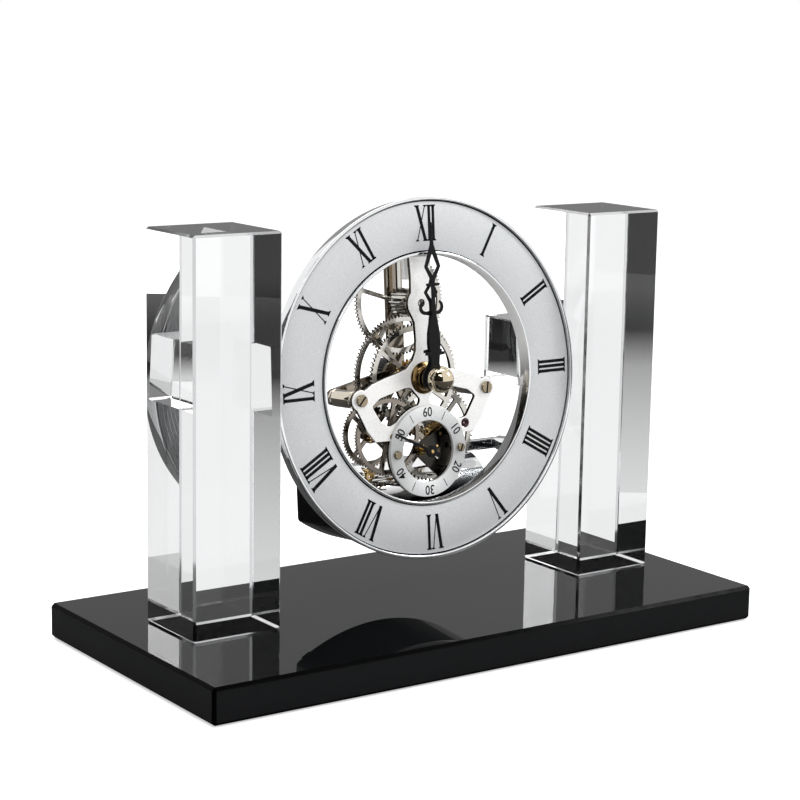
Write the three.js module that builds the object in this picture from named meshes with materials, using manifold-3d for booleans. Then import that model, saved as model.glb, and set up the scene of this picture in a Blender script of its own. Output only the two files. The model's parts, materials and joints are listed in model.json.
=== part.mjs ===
// Desk clock: a leaning skeleton clock held between two clear columns on a black slab.
// Millimetres, +Z up, the front faces -Y, origin at the middle of the slab's underside.
import * as THREE from "three";
import { mergeVertices } from "three/addons/utils/BufferGeometryUtils.js";
import Module from "manifold-3d";

const wasm = await Module();
wasm.setup();

const TURN = 2 * Math.PI;
const radians = (degrees) => (degrees * Math.PI) / 180;

// Clearances
const SEAT = 0.3; // between faces that are glued, screwed or pressed together
const RUNNING = 0.3; // round a turning arbor

// Base slab
const BASE_WIDTH = 200;
const BASE_DEPTH = 100;
const BASE_HEIGHT = 11;
const SLAB_BEVEL = 1;

// Columns and side blocks
const GATE_X = 2; // middle of the two columns, from the middle of the slab
const GATE_Y = 2.5;
const COLUMN_WIDTH = 29.5;
const COLUMN_DEPTH = 28.5;
const COLUMN_HEIGHT = 118.2;
const COLUMN_GAP = 1; // between a column and the case ring
const CRYSTAL_BEVEL = 0.6;
const BLOCK_HEIGHT = 20.5;
const BLOCK_LENGTH = 19;
const BLOCK_BACK = 16.4; // rear face of a block, from the middle of the slab
const BLOCK_RISE = 3.8; // a block's middle above the dial's middle

// Case ring and dial
const CASE_RADIUS = 55.8;
const CASE_LIFT = 14; // slab to the lowest point of the case ring
const CASE_LEAN = radians(5); // the dial leans back
const CASE_THICKNESS = 5;
const CASE_SETBACK = 9.6; // dial face in front of the gate's middle
const RIM_WIDTH = 1.1;
const RIM_TAPER = 0.6;
const REAR_RIM_WIDTH = 0.7;
const OPENING_RADIUS = 38.1;
const INNER_RIM_WIDTH = 0.9;
const DIAL_GAP = 0.4; // shadow line round the dial ring
const DIAL_DEPTH = 0.9; // rim to the face of the dial ring
const DIAL_THICKNESS = 0.7;
const WEB_THICKNESS = 1.2;
const RING_SEGMENTS = 52;

// Layers of the movement: the front plate sits behind the rim of the case ring, and each
// wheel behind the layer in front of it by its own gap
const PLATE_FRONT = 4.2;
const PLATE_THICKNESS = 1.4;
const WHEEL_THICKNESS = 0.9;
const COCK_RISE = 1.9;
const COCK_THICKNESS = 0.9;
const DRIVE_WHEEL_GAP = 0.9; // behind the front plate
const HOUR_WHEEL_GAP = 0.6; // behind the cock
const MOTION_WHEEL_GAP = 1.3; // behind the hour wheel
const CENTRE_WHEEL_GAP = 1.6; // behind the motion wheel
const TOP_WHEEL_GAP = 1; // behind the centre wheel
const CROSS_WHEEL_GAP = 1.1; // behind the centre wheel
const BACK_PLATE_GAP = 1.7; // behind the cross wheel
const KNOB_GAP = 1; // behind the back plate
const PINION_OVERHANG = 0.1; // of a pinion past the wheel it turns, on either side
const TUBE_WALL_FRONT = 0.2; // of the case ring's inner wall behind its rim

// Wheelwork: module, and teeth of the wheel and its pinion
const CENTRE_MODULE = 0.394;
const CENTRE_TEETH = 96;
const CROSS_PINION_TEETH = 12;
const TOP_PINION_TEETH = 21;
const TOP_PINION_GAP = 1.2; // front plate to the pinion
const TOP_MODULE = 0.388;
const TOP_TEETH = 84;
const MOTION_DISTANCE = 20.2;
const MOTION_TEETH = 66;
const CANNON_TEETH = 22;
const HOUR_TEETH = 72;
const MOTION_PINION_TEETH = 18;
const MOTION_ANGLE = radians(-66.3); // from 3 o'clock, anticlockwise
const SECONDS_MODULE = 0.32;
const DRIVE_TEETH = 75;
const SECONDS_PINION_TEETH = 10;
const CROSS_MODULE = 0.34;
const CROSS_TEETH = 60;
const OUTPUT_PINION_TEETH = 10;

// Arbors
const MINUTE_ARBOR = 1;
const HOUR_TUBE = 2.2;
const COLLAR_WIDTH = 1.3;
const COLLAR_THICKNESS = 0.8;
const BUSHING = 3.6;
const BUSHING_FRONT = 1.6;
const PIVOT = 0.6;
const TOP_ARBOR = 1;

// Plates and pillars
const EAR_X = 23.6;
const EAR_Z = -5;
const EAR_RADIUS = 3.2;
const PILLAR = 2.75;
const ARM_TOP_HALF = 4;
const ARM_WAIST_HALF = 2.6;
const EYE = 2.2;
const TOP_EYE = 5;
const SCREW_HEAD = 1.9;
const SCREW_SHANK = 1;
const SMALL_HEAD = 1.3;
const SMALL_SHANK = 0.6;
const HEAD_HEIGHT = 0.8;
const SLOT_WIDTH = 0.5;

// Seconds dial
const SECONDS_Z = -22.7;
const SECONDS_OUTER = 14.2;
const SECONDS_INNER = 9.6;
const SECONDS_THICKNESS = 1;
const SECONDS_HAND_TAIL = 3.5;
const SECONDS_HUB = 1.9;
const SECONDS_HAND_FRONT = 0.8;
const SECONDS_READING = radians(-63); // from the top, clockwise

// Hands
const HAND_THICKNESS = 0.6;
const MINUTE_HAND_FRONT = -2.4;
const HOUR_HAND_FRONT = -1.2;
const MINUTE_HAND_LENGTH = 48;
const HOUR_HAND_LENGTH = 31;
const BALL_RADIUS = 4.2;
const BALL_CUT = 0.45; // of its radius, from its middle to its flat face
const MINUTE_READING = radians(0);
const HOUR_READING = radians(0);

// Drive case, battery and knob
const DRIVE_AXIS_Z = -40.5;
const DRIVE_AXIS_DEPTH = 26.5;
const DRIVE_RADIUS = 13;
const DRIVE_HALF_LENGTH = 31;
const DRIVE_BACK = 31.5;
const DRIVE_WALL = 1.2;
const DRIVE_SHELF_Z = -40.4;
const DRIVE_INSET = 2; // below the case ring's outline
const CELL_RADIUS = 5.25;
const CELL_LENGTH = 44.5;
const CELL_BACK = 1.3; // cell to the rear face of the drive body
const CELL_POLE = 1;
const CONTACT_THICKNESS = 0.4;
const DOOR_THICKNESS = 1.2;
const KNOB_RADIUS = 5;
const KNOB_LENGTH = 6;
const DOOR_LAP = 0.9; // of the battery door past the bay
const RAIL_WIDTH = 1.2;
const RAIL_LIP = 1;
const RAIL_THICKNESS = 0.8;
const FOOT_Z = -45.8; // middle of the board and coil in the foot of the drive case
const BOARD_SIZE = [32, 1, 6];
const STATOR_SIZE = [26, 0.8, 6];
const STATOR_OFFSET = 2;
const COIL_RADIUS = 2;
const COIL_LENGTH = 16;
const COIL_LEFT = -8;
const CONTACT_SIZE = [8, 7];
const OUTPUT_ARBOR = 0.5;
const OUTPUT_REACH = 6.2; // of the drive's arbor behind the cross wheel's front
const KNOB_TEETH = 20;

// Small pieces of the frame
const HANGER_SPREAD = 7;
const HANGER_RISE = 2.2; // top pillar above the top wheel's rim
const LUG_HALF = 5;
const LUG_LAP = 2.2; // of the lug past its outer screws
const SPIGOT = 1.2; // of the top pillar in the lug
const HANGER_HEAD = 1.6;
const SCREW_GRIP = 3.5;
const RING_SCREW_X = 12;
const LUG_THICKNESS = 1.5;
const LUG_BOTTOM = 30.5;
const ARM_TOP_Z = 37.5;
const ARM_SCREW_Z = 34;
const JEWEL_RADIUS = 1.2;
const JEWEL_PLACE = [15.3, -15.5];
const COCK_FEET = [[11.3, -17.5], [8.5, -30.6]];
const CLAMP_FOOT = [18.5, -25.8];
const CLAMP_POST = [40.3, -25.8];
const CLAMP_HALF = 1.7;
const CLAMP_THICKNESS = 3;
const CLAMP_HEAD = 1.4;
const CLAMP_GRIP = 4;
const POST_RADIUS = 2.4;
const MINUTE_ARBOR_FRONT = -3.2;
const MINUTE_ARBOR_BACK = 0.8; // short of the knob's rear face

// Sizes that follow from the ones above
const dialX = GATE_X;
const dialY = GATE_Y - CASE_SETBACK;
const dialZ = BASE_HEIGHT + CASE_LIFT + CASE_RADIUS;
const plateBack = PLATE_FRONT + PLATE_THICKNESS;
const cockFront = plateBack + SEAT + COCK_RISE;
const cockBack = cockFront + COCK_THICKNESS;
const driveWheelFront = plateBack + DRIVE_WHEEL_GAP;
const hourWheelFront = cockBack + HOUR_WHEEL_GAP;
const motionWheelFront = hourWheelFront + WHEEL_THICKNESS + MOTION_WHEEL_GAP;
const centreWheelFront = motionWheelFront + WHEEL_THICKNESS + CENTRE_WHEEL_GAP;
const topWheelFront = centreWheelFront + WHEEL_THICKNESS + TOP_WHEEL_GAP;
const crossWheelFront = centreWheelFront + WHEEL_THICKNESS + CROSS_WHEEL_GAP;
const backPlateFront = crossWheelFront + WHEEL_THICKNESS + BACK_PLATE_GAP;
const backPlateBack = backPlateFront + PLATE_THICKNESS;
const knobFront = backPlateBack + KNOB_GAP;
const motionX = MOTION_DISTANCE * Math.cos(MOTION_ANGLE);
const motionZ = MOTION_DISTANCE * Math.sin(MOTION_ANGLE);
const cannonModule = (2 * MOTION_DISTANCE) / (MOTION_TEETH + CANNON_TEETH);
const hourModule = (2 * MOTION_DISTANCE) / (HOUR_TEETH + MOTION_PINION_TEETH);
const topZ = (CENTRE_MODULE * (CENTRE_TEETH + TOP_PINION_TEETH)) / 2;
const crossDistance = (CENTRE_MODULE * (CENTRE_TEETH + CROSS_PINION_TEETH)) / 2;
const secondsDistance = (SECONDS_MODULE * (DRIVE_TEETH + SECONDS_PINION_TEETH)) / 2;
const [crossX, crossZ] = meetingPoint(crossDistance, secondsDistance, SECONDS_Z);
const outputX = crossX;
const outputZ = crossZ - (CROSS_MODULE * (CROSS_TEETH + OUTPUT_PINION_TEETH)) / 2;
const hangerZ = topZ + (TOP_MODULE * TOP_TEETH) / 2 + PILLAR + HANGER_RISE;
const secondsHandLength = OPENING_RADIUS + SECONDS_Z - RUNNING;

// Point left of the middle line, at one distance from the centre and another from (0, z)
function meetingPoint(fromCentre, fromSeconds, z) {
  const pointZ = (fromCentre ** 2 - fromSeconds ** 2 + z ** 2) / (2 * z);
  return [-Math.sqrt(fromCentre ** 2 - pointZ ** 2), pointZ];
}

// Materials
function material(color, roughness, metalness, opacity = 1) {
  return new THREE.MeshStandardMaterial({
    color,
    roughness,
    metalness,
    opacity,
    transparent: opacity < 1,
  });
}
const blackGlass = material(0x0a0a0c, 0.05, 0);
const crystal = material(0xf4f8fa, 0.02, 0, 0.35);
const chrome = material(0xd8dadc, 0.08, 1);
const silver = material(0xc9cdd0, 0.4, 0.8);
const nickel = material(0xc2c0b8, 0.2, 1);
const brass = material(0xb98a3c, 0.22, 1);
const handBlack = material(0x151517, 0.35, 0.2);
const blackPlastic = material(0x1a1a1c, 0.5, 0);
const boardGreen = material(0x1d5a35, 0.5, 0);
const copper = material(0xb4673a, 0.3, 1);
const cellSleeve = material(0x3c5a78, 0.4, 0.1);
const ruby = material(0x7d1f2c, 0.15, 0);

// Solids: joining and cutting closed geometry
function solidOf(geometry) {
  const bare = geometry.clone();
  bare.deleteAttribute("normal");
  bare.deleteAttribute("uv");
  const merged = mergeVertices(bare, 1e-4);
  return new wasm.Manifold(
    new wasm.Mesh({
      numProp: 3,
      vertProperties: new Float32Array(merged.attributes.position.array),
      triVerts: new Uint32Array(merged.index.array),
    }),
  );
}
const join = (...geometries) => geometries.map(solidOf).reduce((a, b) => a.add(b));
const cut = (solid, ...geometries) => geometries.map(solidOf).reduce((a, b) => a.subtract(b), solid);

function geometryOf(solid) {
  const made = solid.getMesh();
  const geometry = new THREE.BufferGeometry();
  geometry.setAttribute("position", new THREE.BufferAttribute(made.vertProperties, 3));
  geometry.setIndex(new THREE.BufferAttribute(made.triVerts, 1));
  geometry.computeVertexNormals();
  return geometry;
}

function piece(group, name, shape, finish) {
  const geometry = shape.isBufferGeometry ? shape : geometryOf(shape);
  const mesh = new THREE.Mesh(geometry, finish);
  mesh.name = name;
  group.add(mesh);
  return mesh;
}

// Outlines in the dial's plane: x to the right, z up
function arc(x, z, radius, from, to, steps) {
  return Array.from({ length: steps + 1 }, (_, i) => {
    const angle = from + ((to - from) * i) / steps;
    return new THREE.Vector2(x + radius * Math.cos(angle), z + radius * Math.sin(angle));
  });
}
const circle = (x, z, radius, steps) => arc(x, z, radius, 0, TURN * (1 - 1 / steps), steps - 1);
const outline = (points) => points.map(([x, z]) => new THREE.Vector2(x, z));
const mirrored = (points) => [...points, ...points.map(([x, z]) => [-x, z]).reverse()];

function bar(x1, z1, x2, z2, radius) {
  const heading = Math.atan2(z2 - z1, x2 - x1);
  const quarter = TURN / 4;
  return [
    ...arc(x1, z1, radius, heading + quarter, heading + 3 * quarter, 8),
    ...arc(x2, z2, radius, heading - quarter, heading + quarter, 8),
  ];
}

// A flat plate between two depths, and a turned piece about a front-to-back axis
function plate(points, front, back, holes = []) {
  const shape = new THREE.Shape(points);
  shape.holes = holes.map((hole) => new THREE.Path(hole));
  const options = { depth: back - front, bevelEnabled: false };
  return new THREE.ExtrudeGeometry(shape, options).rotateX(TURN / 4).translate(0, back, 0);
}
function turned(points, segments, x = 0, z = 0) {
  const profile = points.map(([radius, depth]) => new THREE.Vector2(radius, depth));
  return new THREE.LatheGeometry(profile, segments).translate(x, 0, z);
}
const closed = (points) => [...points, points[0]];

// A profile in the side plane (depth, z), drawn out along x
function drawnOut(points, halfLength) {
  const shape = new THREE.Shape(points.map(([depth, z]) => new THREE.Vector2(depth, z)));
  const options = { depth: 2 * halfLength, bevelEnabled: false };
  const geometry = new THREE.ExtrudeGeometry(shape, options);
  return geometry.rotateX(TURN / 4).rotateZ(TURN / 4).translate(-halfLength, 0, 0);
}

function bevelledBox(width, depth, height, bevel) {
  const x = width / 2 - bevel;
  const y = depth / 2 - bevel;
  const shape = new THREE.Shape(outline([[-x, -y], [x, -y], [x, y], [-x, y]]));
  const geometry = new THREE.ExtrudeGeometry(shape, {
    depth: height - 2 * bevel,
    bevelThickness: bevel,
    bevelSize: bevel,
    bevelSegments: 1,
  });
  return geometry.translate(0, 0, bevel);
}

// Wheels and pinions
function toothed(teeth, module, phase) {
  const pitch = TURN / teeth;
  const root = (module * teeth) / 2 - module;
  const tip = (module * teeth) / 2 + 0.72 * module;
  const corners = [[root, -0.29], [tip, 0], [root, 0.29]];
  return Array.from({ length: teeth }, (_, i) =>
    corners.map(([radius, share]) => {
      const angle = phase + (i + share) * pitch;
      return new THREE.Vector2(radius * Math.cos(angle), radius * Math.sin(angle));
    }),
  ).flat();
}

// Phase that puts a gap of the second gear on a tooth of the first, along a heading
function meshed(teeth, phase, otherTeeth, heading) {
  const share = ((heading - phase) * teeth) / TURN;
  return heading + Math.PI - (TURN / otherTeeth) * (0.5 - share);
}

function crossings(count, inner, outer, spokeWidth, turn) {
  return Array.from({ length: count }, (_, i) => {
    const middle = turn + (i * TURN) / count;
    const half = Math.PI / count;
    const innerHalf = half - spokeWidth / 2 / inner;
    const outerHalf = half - spokeWidth / 2 / outer;
    return [
      ...arc(0, 0, outer, middle - outerHalf, middle + outerHalf, 6),
      ...arc(0, 0, inner, middle + innerHalf, middle - innerHalf, 2),
    ];
  });
}

function spokedWheel({ teeth, module, phase = 0, front, bore, spokes, turn = 0 }) {
  const rim = (module * teeth) / 2 - 3.2 * module - 0.6;
  const hub = bore + 2.2;
  const holes = [circle(0, 0, bore, 16), ...crossings(spokes, hub, rim, 1.3, turn)];
  return plate(toothed(teeth, module, phase), front, front + WHEEL_THICKNESS, holes);
}

function pinionOn(teeth, module, phase, front, back) {
  return plate(toothed(teeth, module, phase), front, back);
}
const rod = (radius, front, back, segments = 14) =>
  turned([[0, front], [radius, front], [radius, back], [0, back]], segments);

function slottedScrew(head, shank, headFront, back, turn) {
  const slot = new THREE.BoxGeometry(4 * head, HEAD_HEIGHT, SLOT_WIDTH);
  slot.rotateY(turn).translate(0, headFront - HEAD_HEIGHT / 2 + 0.4, 0);
  const underHead = headFront + HEAD_HEIGHT;
  const body = turned(
    [[0, headFront], [head, headFront], [head, underHead], [shank, underHead], [shank, back], [0, back]],
    12,
  );
  return cut(solidOf(body), slot);
}

// The clock group stands at the middle of the dial and leans back with it
const deskClock = new THREE.Group();
deskClock.name = "desk_clock";
const clock = new THREE.Group();
clock.position.set(dialX, dialY, dialZ);
clock.rotation.x = -CASE_LEAN;
deskClock.add(clock);

// Slab and columns
function addStand() {
  piece(deskClock, "base", bevelledBox(BASE_WIDTH, BASE_DEPTH, BASE_HEIGHT, SLAB_BEVEL), blackGlass);
  const halfGate = CASE_RADIUS + COLUMN_GAP;
  for (const [side, sign] of [["left", -1], ["right", 1]]) {
    const column = bevelledBox(COLUMN_WIDTH, COLUMN_DEPTH, COLUMN_HEIGHT, CRYSTAL_BEVEL);
    const x = GATE_X + sign * (halfGate + COLUMN_WIDTH / 2);
    column.translate(x, GATE_Y, BASE_HEIGHT + SEAT);
    piece(deskClock, `column_${side}`, column, crystal);
    addBlock(side, sign, halfGate);
  }
}

// Block with its front ground to the lean of the clock
function addBlock(side, sign, halfGate) {
  const frontAt = (z) => dialY + (CASE_THICKNESS + SEAT + z * Math.sin(CASE_LEAN)) / Math.cos(CASE_LEAN);
  const bottom = BLOCK_RISE - BLOCK_HEIGHT / 2;
  const top = bottom + BLOCK_HEIGHT;
  const profile = [
    [frontAt(bottom), bottom],
    [BLOCK_BACK, bottom],
    [BLOCK_BACK, top],
    [frontAt(top), top],
  ];
  const middle = halfGate - SEAT - BLOCK_LENGTH / 2;
  const block = drawnOut(profile, BLOCK_LENGTH / 2).translate(GATE_X + sign * middle, 0, dialZ);
  piece(deskClock, `block_${side}`, block, crystal);
}

// Case ring with a recess at the front for the dial and one at the rear for its cover
function addCase() {
  const dialOuter = CASE_RADIUS - RIM_WIDTH;
  const coverOuter = CASE_RADIUS - RIM_TAPER - REAR_RIM_WIDTH;
  const inner = OPENING_RADIUS + INNER_RIM_WIDTH;
  const webFront = DIAL_DEPTH + DIAL_THICKNESS + SEAT;
  const webBack = webFront + WEB_THICKNESS;
  const section = [
    [CASE_RADIUS, 0],
    [CASE_RADIUS - RIM_TAPER, CASE_THICKNESS],
    [coverOuter, CASE_THICKNESS],
    [coverOuter, webBack],
    [inner, webBack],
    [inner, CASE_THICKNESS],
    [OPENING_RADIUS, CASE_THICKNESS],
    [OPENING_RADIUS, TUBE_WALL_FRONT],
    [inner, TUBE_WALL_FRONT],
    [inner, webFront],
    [dialOuter, webFront],
    [dialOuter, 0],
  ];
  piece(clock, "case_ring", turned(closed(section), RING_SEGMENTS), chrome);

  const dialBack = DIAL_DEPTH + DIAL_THICKNESS;
  const dial = ringBetween(inner + DIAL_GAP, dialOuter - DIAL_GAP, DIAL_DEPTH, dialBack, RING_SEGMENTS);
  piece(clock, "dial_ring", dial, silver);

  const cover = ringBetween(
    inner + DIAL_GAP,
    coverOuter - SEAT,
    webBack + SEAT,
    CASE_THICKNESS,
    RING_SEGMENTS,
  );
  const holes = hangerScrewPlaces().map(([x, z]) =>
    turnedHole(SCREW_SHANK, webBack, CASE_THICKNESS + 1, x, z),
  );
  piece(clock, "rear_cover_ring", cut(solidOf(cover), ...holes), chrome);
}
function ringBetween(inner, outer, front, back, segments, x = 0, z = 0) {
  return turned(closed([[outer, front], [outer, back], [inner, back], [inner, front]]), segments, x, z);
}
const turnedHole = (shank, front, back, x, z) => rod(shank + SEAT, front, back).translate(x, 0, z);

// Places of screws and pillars
const earPlaces = () => [["left", -EAR_X], ["right", EAR_X]];
const ringScrewPlaces = () => [["left", -RING_SCREW_X], ["right", RING_SCREW_X]];
const hangerScrewPlaces = () => [[-HANGER_SPREAD, hangerZ], [HANGER_SPREAD, hangerZ]];

// Front plate: arm, body with two ears, and a ring for the seconds dial
function addFrontPlate() {
  const rightSide = [
    [ARM_TOP_HALF, ARM_TOP_Z],
    [ARM_TOP_HALF - 0.5, topZ + TOP_EYE - 1],
    [ARM_WAIST_HALF, topZ - TOP_EYE],
    [ARM_WAIST_HALF - 0.2, 8],
    [3, 5],
    [6, 2.4],
    [14, 1.2],
    [21, -1.6],
    [24.4, -8],
    [22.4, -13],
    [19.3, -17.2],
    [14.8, -20.6],
    [9, -24],
  ];
  const body = plate(outline(mirrored(rightSide)).reverse(), PLATE_FRONT, plateBack);
  const disc = (x, z, radius, steps) => plate(circle(x, z, radius, steps), PLATE_FRONT, plateBack);
  const parts = [
    body,
    disc(0, SECONDS_Z, SECONDS_OUTER - 0.2, 32),
    disc(-EAR_X, EAR_Z, EAR_RADIUS, 18),
    disc(EAR_X, EAR_Z, EAR_RADIUS, 18),
    disc(0, topZ, TOP_EYE, 24),
    disc(crossX, crossZ, EYE, 14),
  ];
  const opening = (points) => plate(points, PLATE_FRONT - 1, plateBack + 1);
  const window = [
    [-19.6, -7.2],
    [-15.7, -13.5],
    [-12.9, -13.9],
    ...arc(0, SECONDS_Z, SECONDS_OUTER + 0.4, radians(138), radians(99), 5).map((p) => [p.x, p.y]),
    [-1.5, -6.6],
    [-5, -2.6],
    [-7.2, -2.6],
    [-16.6, -5],
  ];
  const openings = [
    opening(outline(window)),
    opening(outline(window.map(([x, z]) => [-x, z]).reverse())),
    opening(circle(0, SECONDS_Z, SECONDS_INNER + 0.3, 32)),
    opening(circle(0, 0, BUSHING + SEAT, 20)),
    opening(circle(0, topZ, TOP_ARBOR + RUNNING, 14)),
    opening(circle(crossX, crossZ, PIVOT + RUNNING, 12)),
    opening(circle(...JEWEL_PLACE, JEWEL_RADIUS + SEAT, 14)),
    turnedHole(SMALL_SHANK, PLATE_FRONT + 0.5, plateBack + 1, 0, ARM_SCREW_Z),
  ];
  for (const [, x] of earPlaces()) openings.push(opening(circle(x, EAR_Z, SCREW_SHANK + SEAT, 14)));
  for (const [, x] of ringScrewPlaces()) {
    openings.push(opening(circle(x, SECONDS_Z, SMALL_SHANK + SEAT, 12)));
  }
  piece(clock, "front_plate", cut(join(...parts), ...openings), nickel);
  const jewel = ringBetween(0.4, JEWEL_RADIUS, PLATE_FRONT - 0.2, plateBack - 0.2, 14, ...JEWEL_PLACE);
  piece(clock, "jewel", jewel, ruby);
  const bushing = ringBetween(HOUR_TUBE + RUNNING, BUSHING, BUSHING_FRONT, plateBack + 0.4, 24);
  piece(clock, "centre_bushing", bushing, brass);
}

// Back plate: bars from the middle to every pillar and pivot
function addBackPlate() {
  const parts = [
    bar(0, 0, 0, hangerZ, 3),
    bar(-EAR_X, EAR_Z, 0, 0, 2.6),
    bar(EAR_X, EAR_Z, 0, 0, 2.6),
    bar(0, 0, crossX, crossZ, EYE),
    bar(0, 0, motionX, motionZ, EYE),
    bar(motionX, motionZ, ...CLAMP_FOOT, EYE),
    circle(0, 0, 5, 24),
  ].map((points) => plate(points, backPlateFront, backPlateBack));
  const opening = (x, z, radius) => plate(circle(x, z, radius, 14), backPlateFront - 1, backPlateBack + 1);
  const holes = [
    opening(0, 0, MINUTE_ARBOR + RUNNING),
    opening(0, topZ, TOP_ARBOR + RUNNING),
    opening(crossX, crossZ, PIVOT + RUNNING),
    opening(motionX, motionZ, PIVOT + RUNNING),
    opening(...CLAMP_FOOT, SCREW_SHANK + SEAT),
    opening(0, hangerZ, SCREW_SHANK + SEAT),
    opening(-EAR_X, EAR_Z, SCREW_SHANK + SEAT),
    opening(EAR_X, EAR_Z, SCREW_SHANK + SEAT),
  ];
  piece(clock, "back_plate", cut(join(...parts), ...holes), nickel);
}

// Pillars, each with a screw at the rear, and slotted screws at the front ears
function addPillars() {
  const front = plateBack + SEAT;
  const back = backPlateFront - SEAT;
  const bore = SCREW_SHANK + SEAT;
  const pillar = [
    [bore, front],
    [PILLAR, front],
    [PILLAR, back],
    [bore, back],
    [bore, back - SCREW_GRIP - 0.5],
    [0, back - SCREW_GRIP - 0.5],
    [0, front + SCREW_GRIP + 0.5],
    [bore, front + SCREW_GRIP + 0.5],
  ];
  const headFront = PLATE_FRONT - SEAT - HEAD_HEIGHT;
  for (const [side, x] of earPlaces()) {
    piece(clock, `pillar_${side}`, turned(closed(pillar), 14, x, EAR_Z), chrome);
    const turn = radians(x < 0 ? 38 : 84);
    const screw = slottedScrew(SCREW_HEAD, SCREW_SHANK, headFront, front + SCREW_GRIP, turn);
    piece(clock, `ear_screw_${side}`, geometryOf(screw).translate(x, 0, EAR_Z), chrome);
    addRearScrew(`rear_screw_${side}`, x, EAR_Z, backPlateBack, back - SCREW_GRIP);
  }
  const lugBack = plateBack + SEAT + LUG_THICKNESS;
  const topPillar = [
    [0, plateBack + SEAT],
    [SPIGOT, plateBack + SEAT],
    [SPIGOT, lugBack + SEAT],
    [PILLAR, lugBack + SEAT],
    [PILLAR, back],
    [bore, back],
    [bore, back - SCREW_GRIP - 0.5],
    [0, back - SCREW_GRIP - 0.5],
  ];
  piece(clock, "pillar_top", turned(topPillar, 14, 0, hangerZ), chrome);
  addRearScrew("rear_screw_top", 0, hangerZ, backPlateBack, back - SCREW_GRIP);
}

// Screw driven from behind: its head sits behind the given face, its tip is at the given depth
function addRearScrew(name, x, z, face, tip, head = SCREW_HEAD, shank = SCREW_SHANK) {
  const screw = slottedScrew(head, shank, 0, face + SEAT + HEAD_HEIGHT - tip, radians(x * 7));
  const placed = geometryOf(screw).rotateX(Math.PI);
  piece(clock, name, placed.translate(x, face + SEAT + HEAD_HEIGHT, z), chrome);
}

// Lug that hangs the front plate from the case ring
function addHanger() {
  const front = plateBack + SEAT;
  const back = front + LUG_THICKNESS;
  const upperFront = CASE_THICKNESS + SEAT;
  const foot = OPENING_RADIUS + 1;
  const neck = mirrored([[LUG_HALF, LUG_BOTTOM], [LUG_HALF, foot + 1]]);
  const lower = plate(outline(neck), front, back);
  const half = HANGER_SPREAD + LUG_LAP;
  const head = hangerZ + LUG_LAP + 0.8;
  const upper = plate(outline(mirrored([[half, foot], [half, head]])), upperFront, back);
  const holes = [
    rod(SPIGOT + SEAT, upperFront - 1, back + 1).translate(0, 0, hangerZ),
    turnedHole(SMALL_SHANK, front - 1, back + 1, 0, ARM_SCREW_Z),
    ...hangerScrewPlaces().map(([x, z]) => turnedHole(SCREW_SHANK, upperFront - 1, back + 1, x, z)),
  ];
  piece(clock, "hanger_lug", cut(join(lower, upper), ...holes), nickel);
  const tip = DIAL_DEPTH + DIAL_THICKNESS + SEAT + WEB_THICKNESS + SEAT;
  addRearScrew("hanger_screw_left", -HANGER_SPREAD, hangerZ, back, tip, HANGER_HEAD);
  addRearScrew("hanger_screw_right", HANGER_SPREAD, hangerZ, back, tip, HANGER_HEAD);
  addRearScrew("arm_screw", 0, ARM_SCREW_Z, back, PLATE_FRONT + 0.8, SMALL_HEAD, SMALL_SHANK);
}

// Seconds dial with its two screws, and the cock behind it
function addSecondsDial() {
  const back = PLATE_FRONT - SEAT;
  const front = back - SECONDS_THICKNESS;
  const ring = ringBetween(SECONDS_INNER, SECONDS_OUTER, front, back, 40, 0, SECONDS_Z);
  const holes = ringScrewPlaces().map(([, x]) =>
    turnedHole(SMALL_SHANK, front - 1, back + 1, x, SECONDS_Z),
  );
  piece(clock, "seconds_ring", cut(solidOf(ring), ...holes), silver);
  for (const [side, x] of ringScrewPlaces()) {
    const headFront = front - SEAT - HEAD_HEIGHT;
    const screw = slottedScrew(SMALL_HEAD, SMALL_SHANK, headFront, plateBack - 0.2, radians(50));
    piece(clock, `seconds_ring_screw_${side}`, geometryOf(screw).translate(x, 0, SECONDS_Z), chrome);
  }
  const parts = [
    plate(bar(0, SECONDS_Z, ...COCK_FEET[0], 2), cockFront, cockBack),
    plate(bar(0, SECONDS_Z, ...COCK_FEET[1], 2), cockFront, cockBack),
    plate(bar(...COCK_FEET[0], ...COCK_FEET[1], 2), cockFront, cockBack),
    ...COCK_FEET.map(([x, z]) => plate(circle(x, z, 1.8, 14), plateBack + SEAT, cockFront + 0.2)),
  ];
  const pivots = [
    turnedHole(PIVOT, cockFront - 1, cockBack + 1, 0, SECONDS_Z),
    turnedHole(PIVOT, plateBack, cockBack + 1, motionX, motionZ),
  ];
  piece(clock, "seconds_cock", cut(join(...parts), ...pivots), nickel);
}

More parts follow.
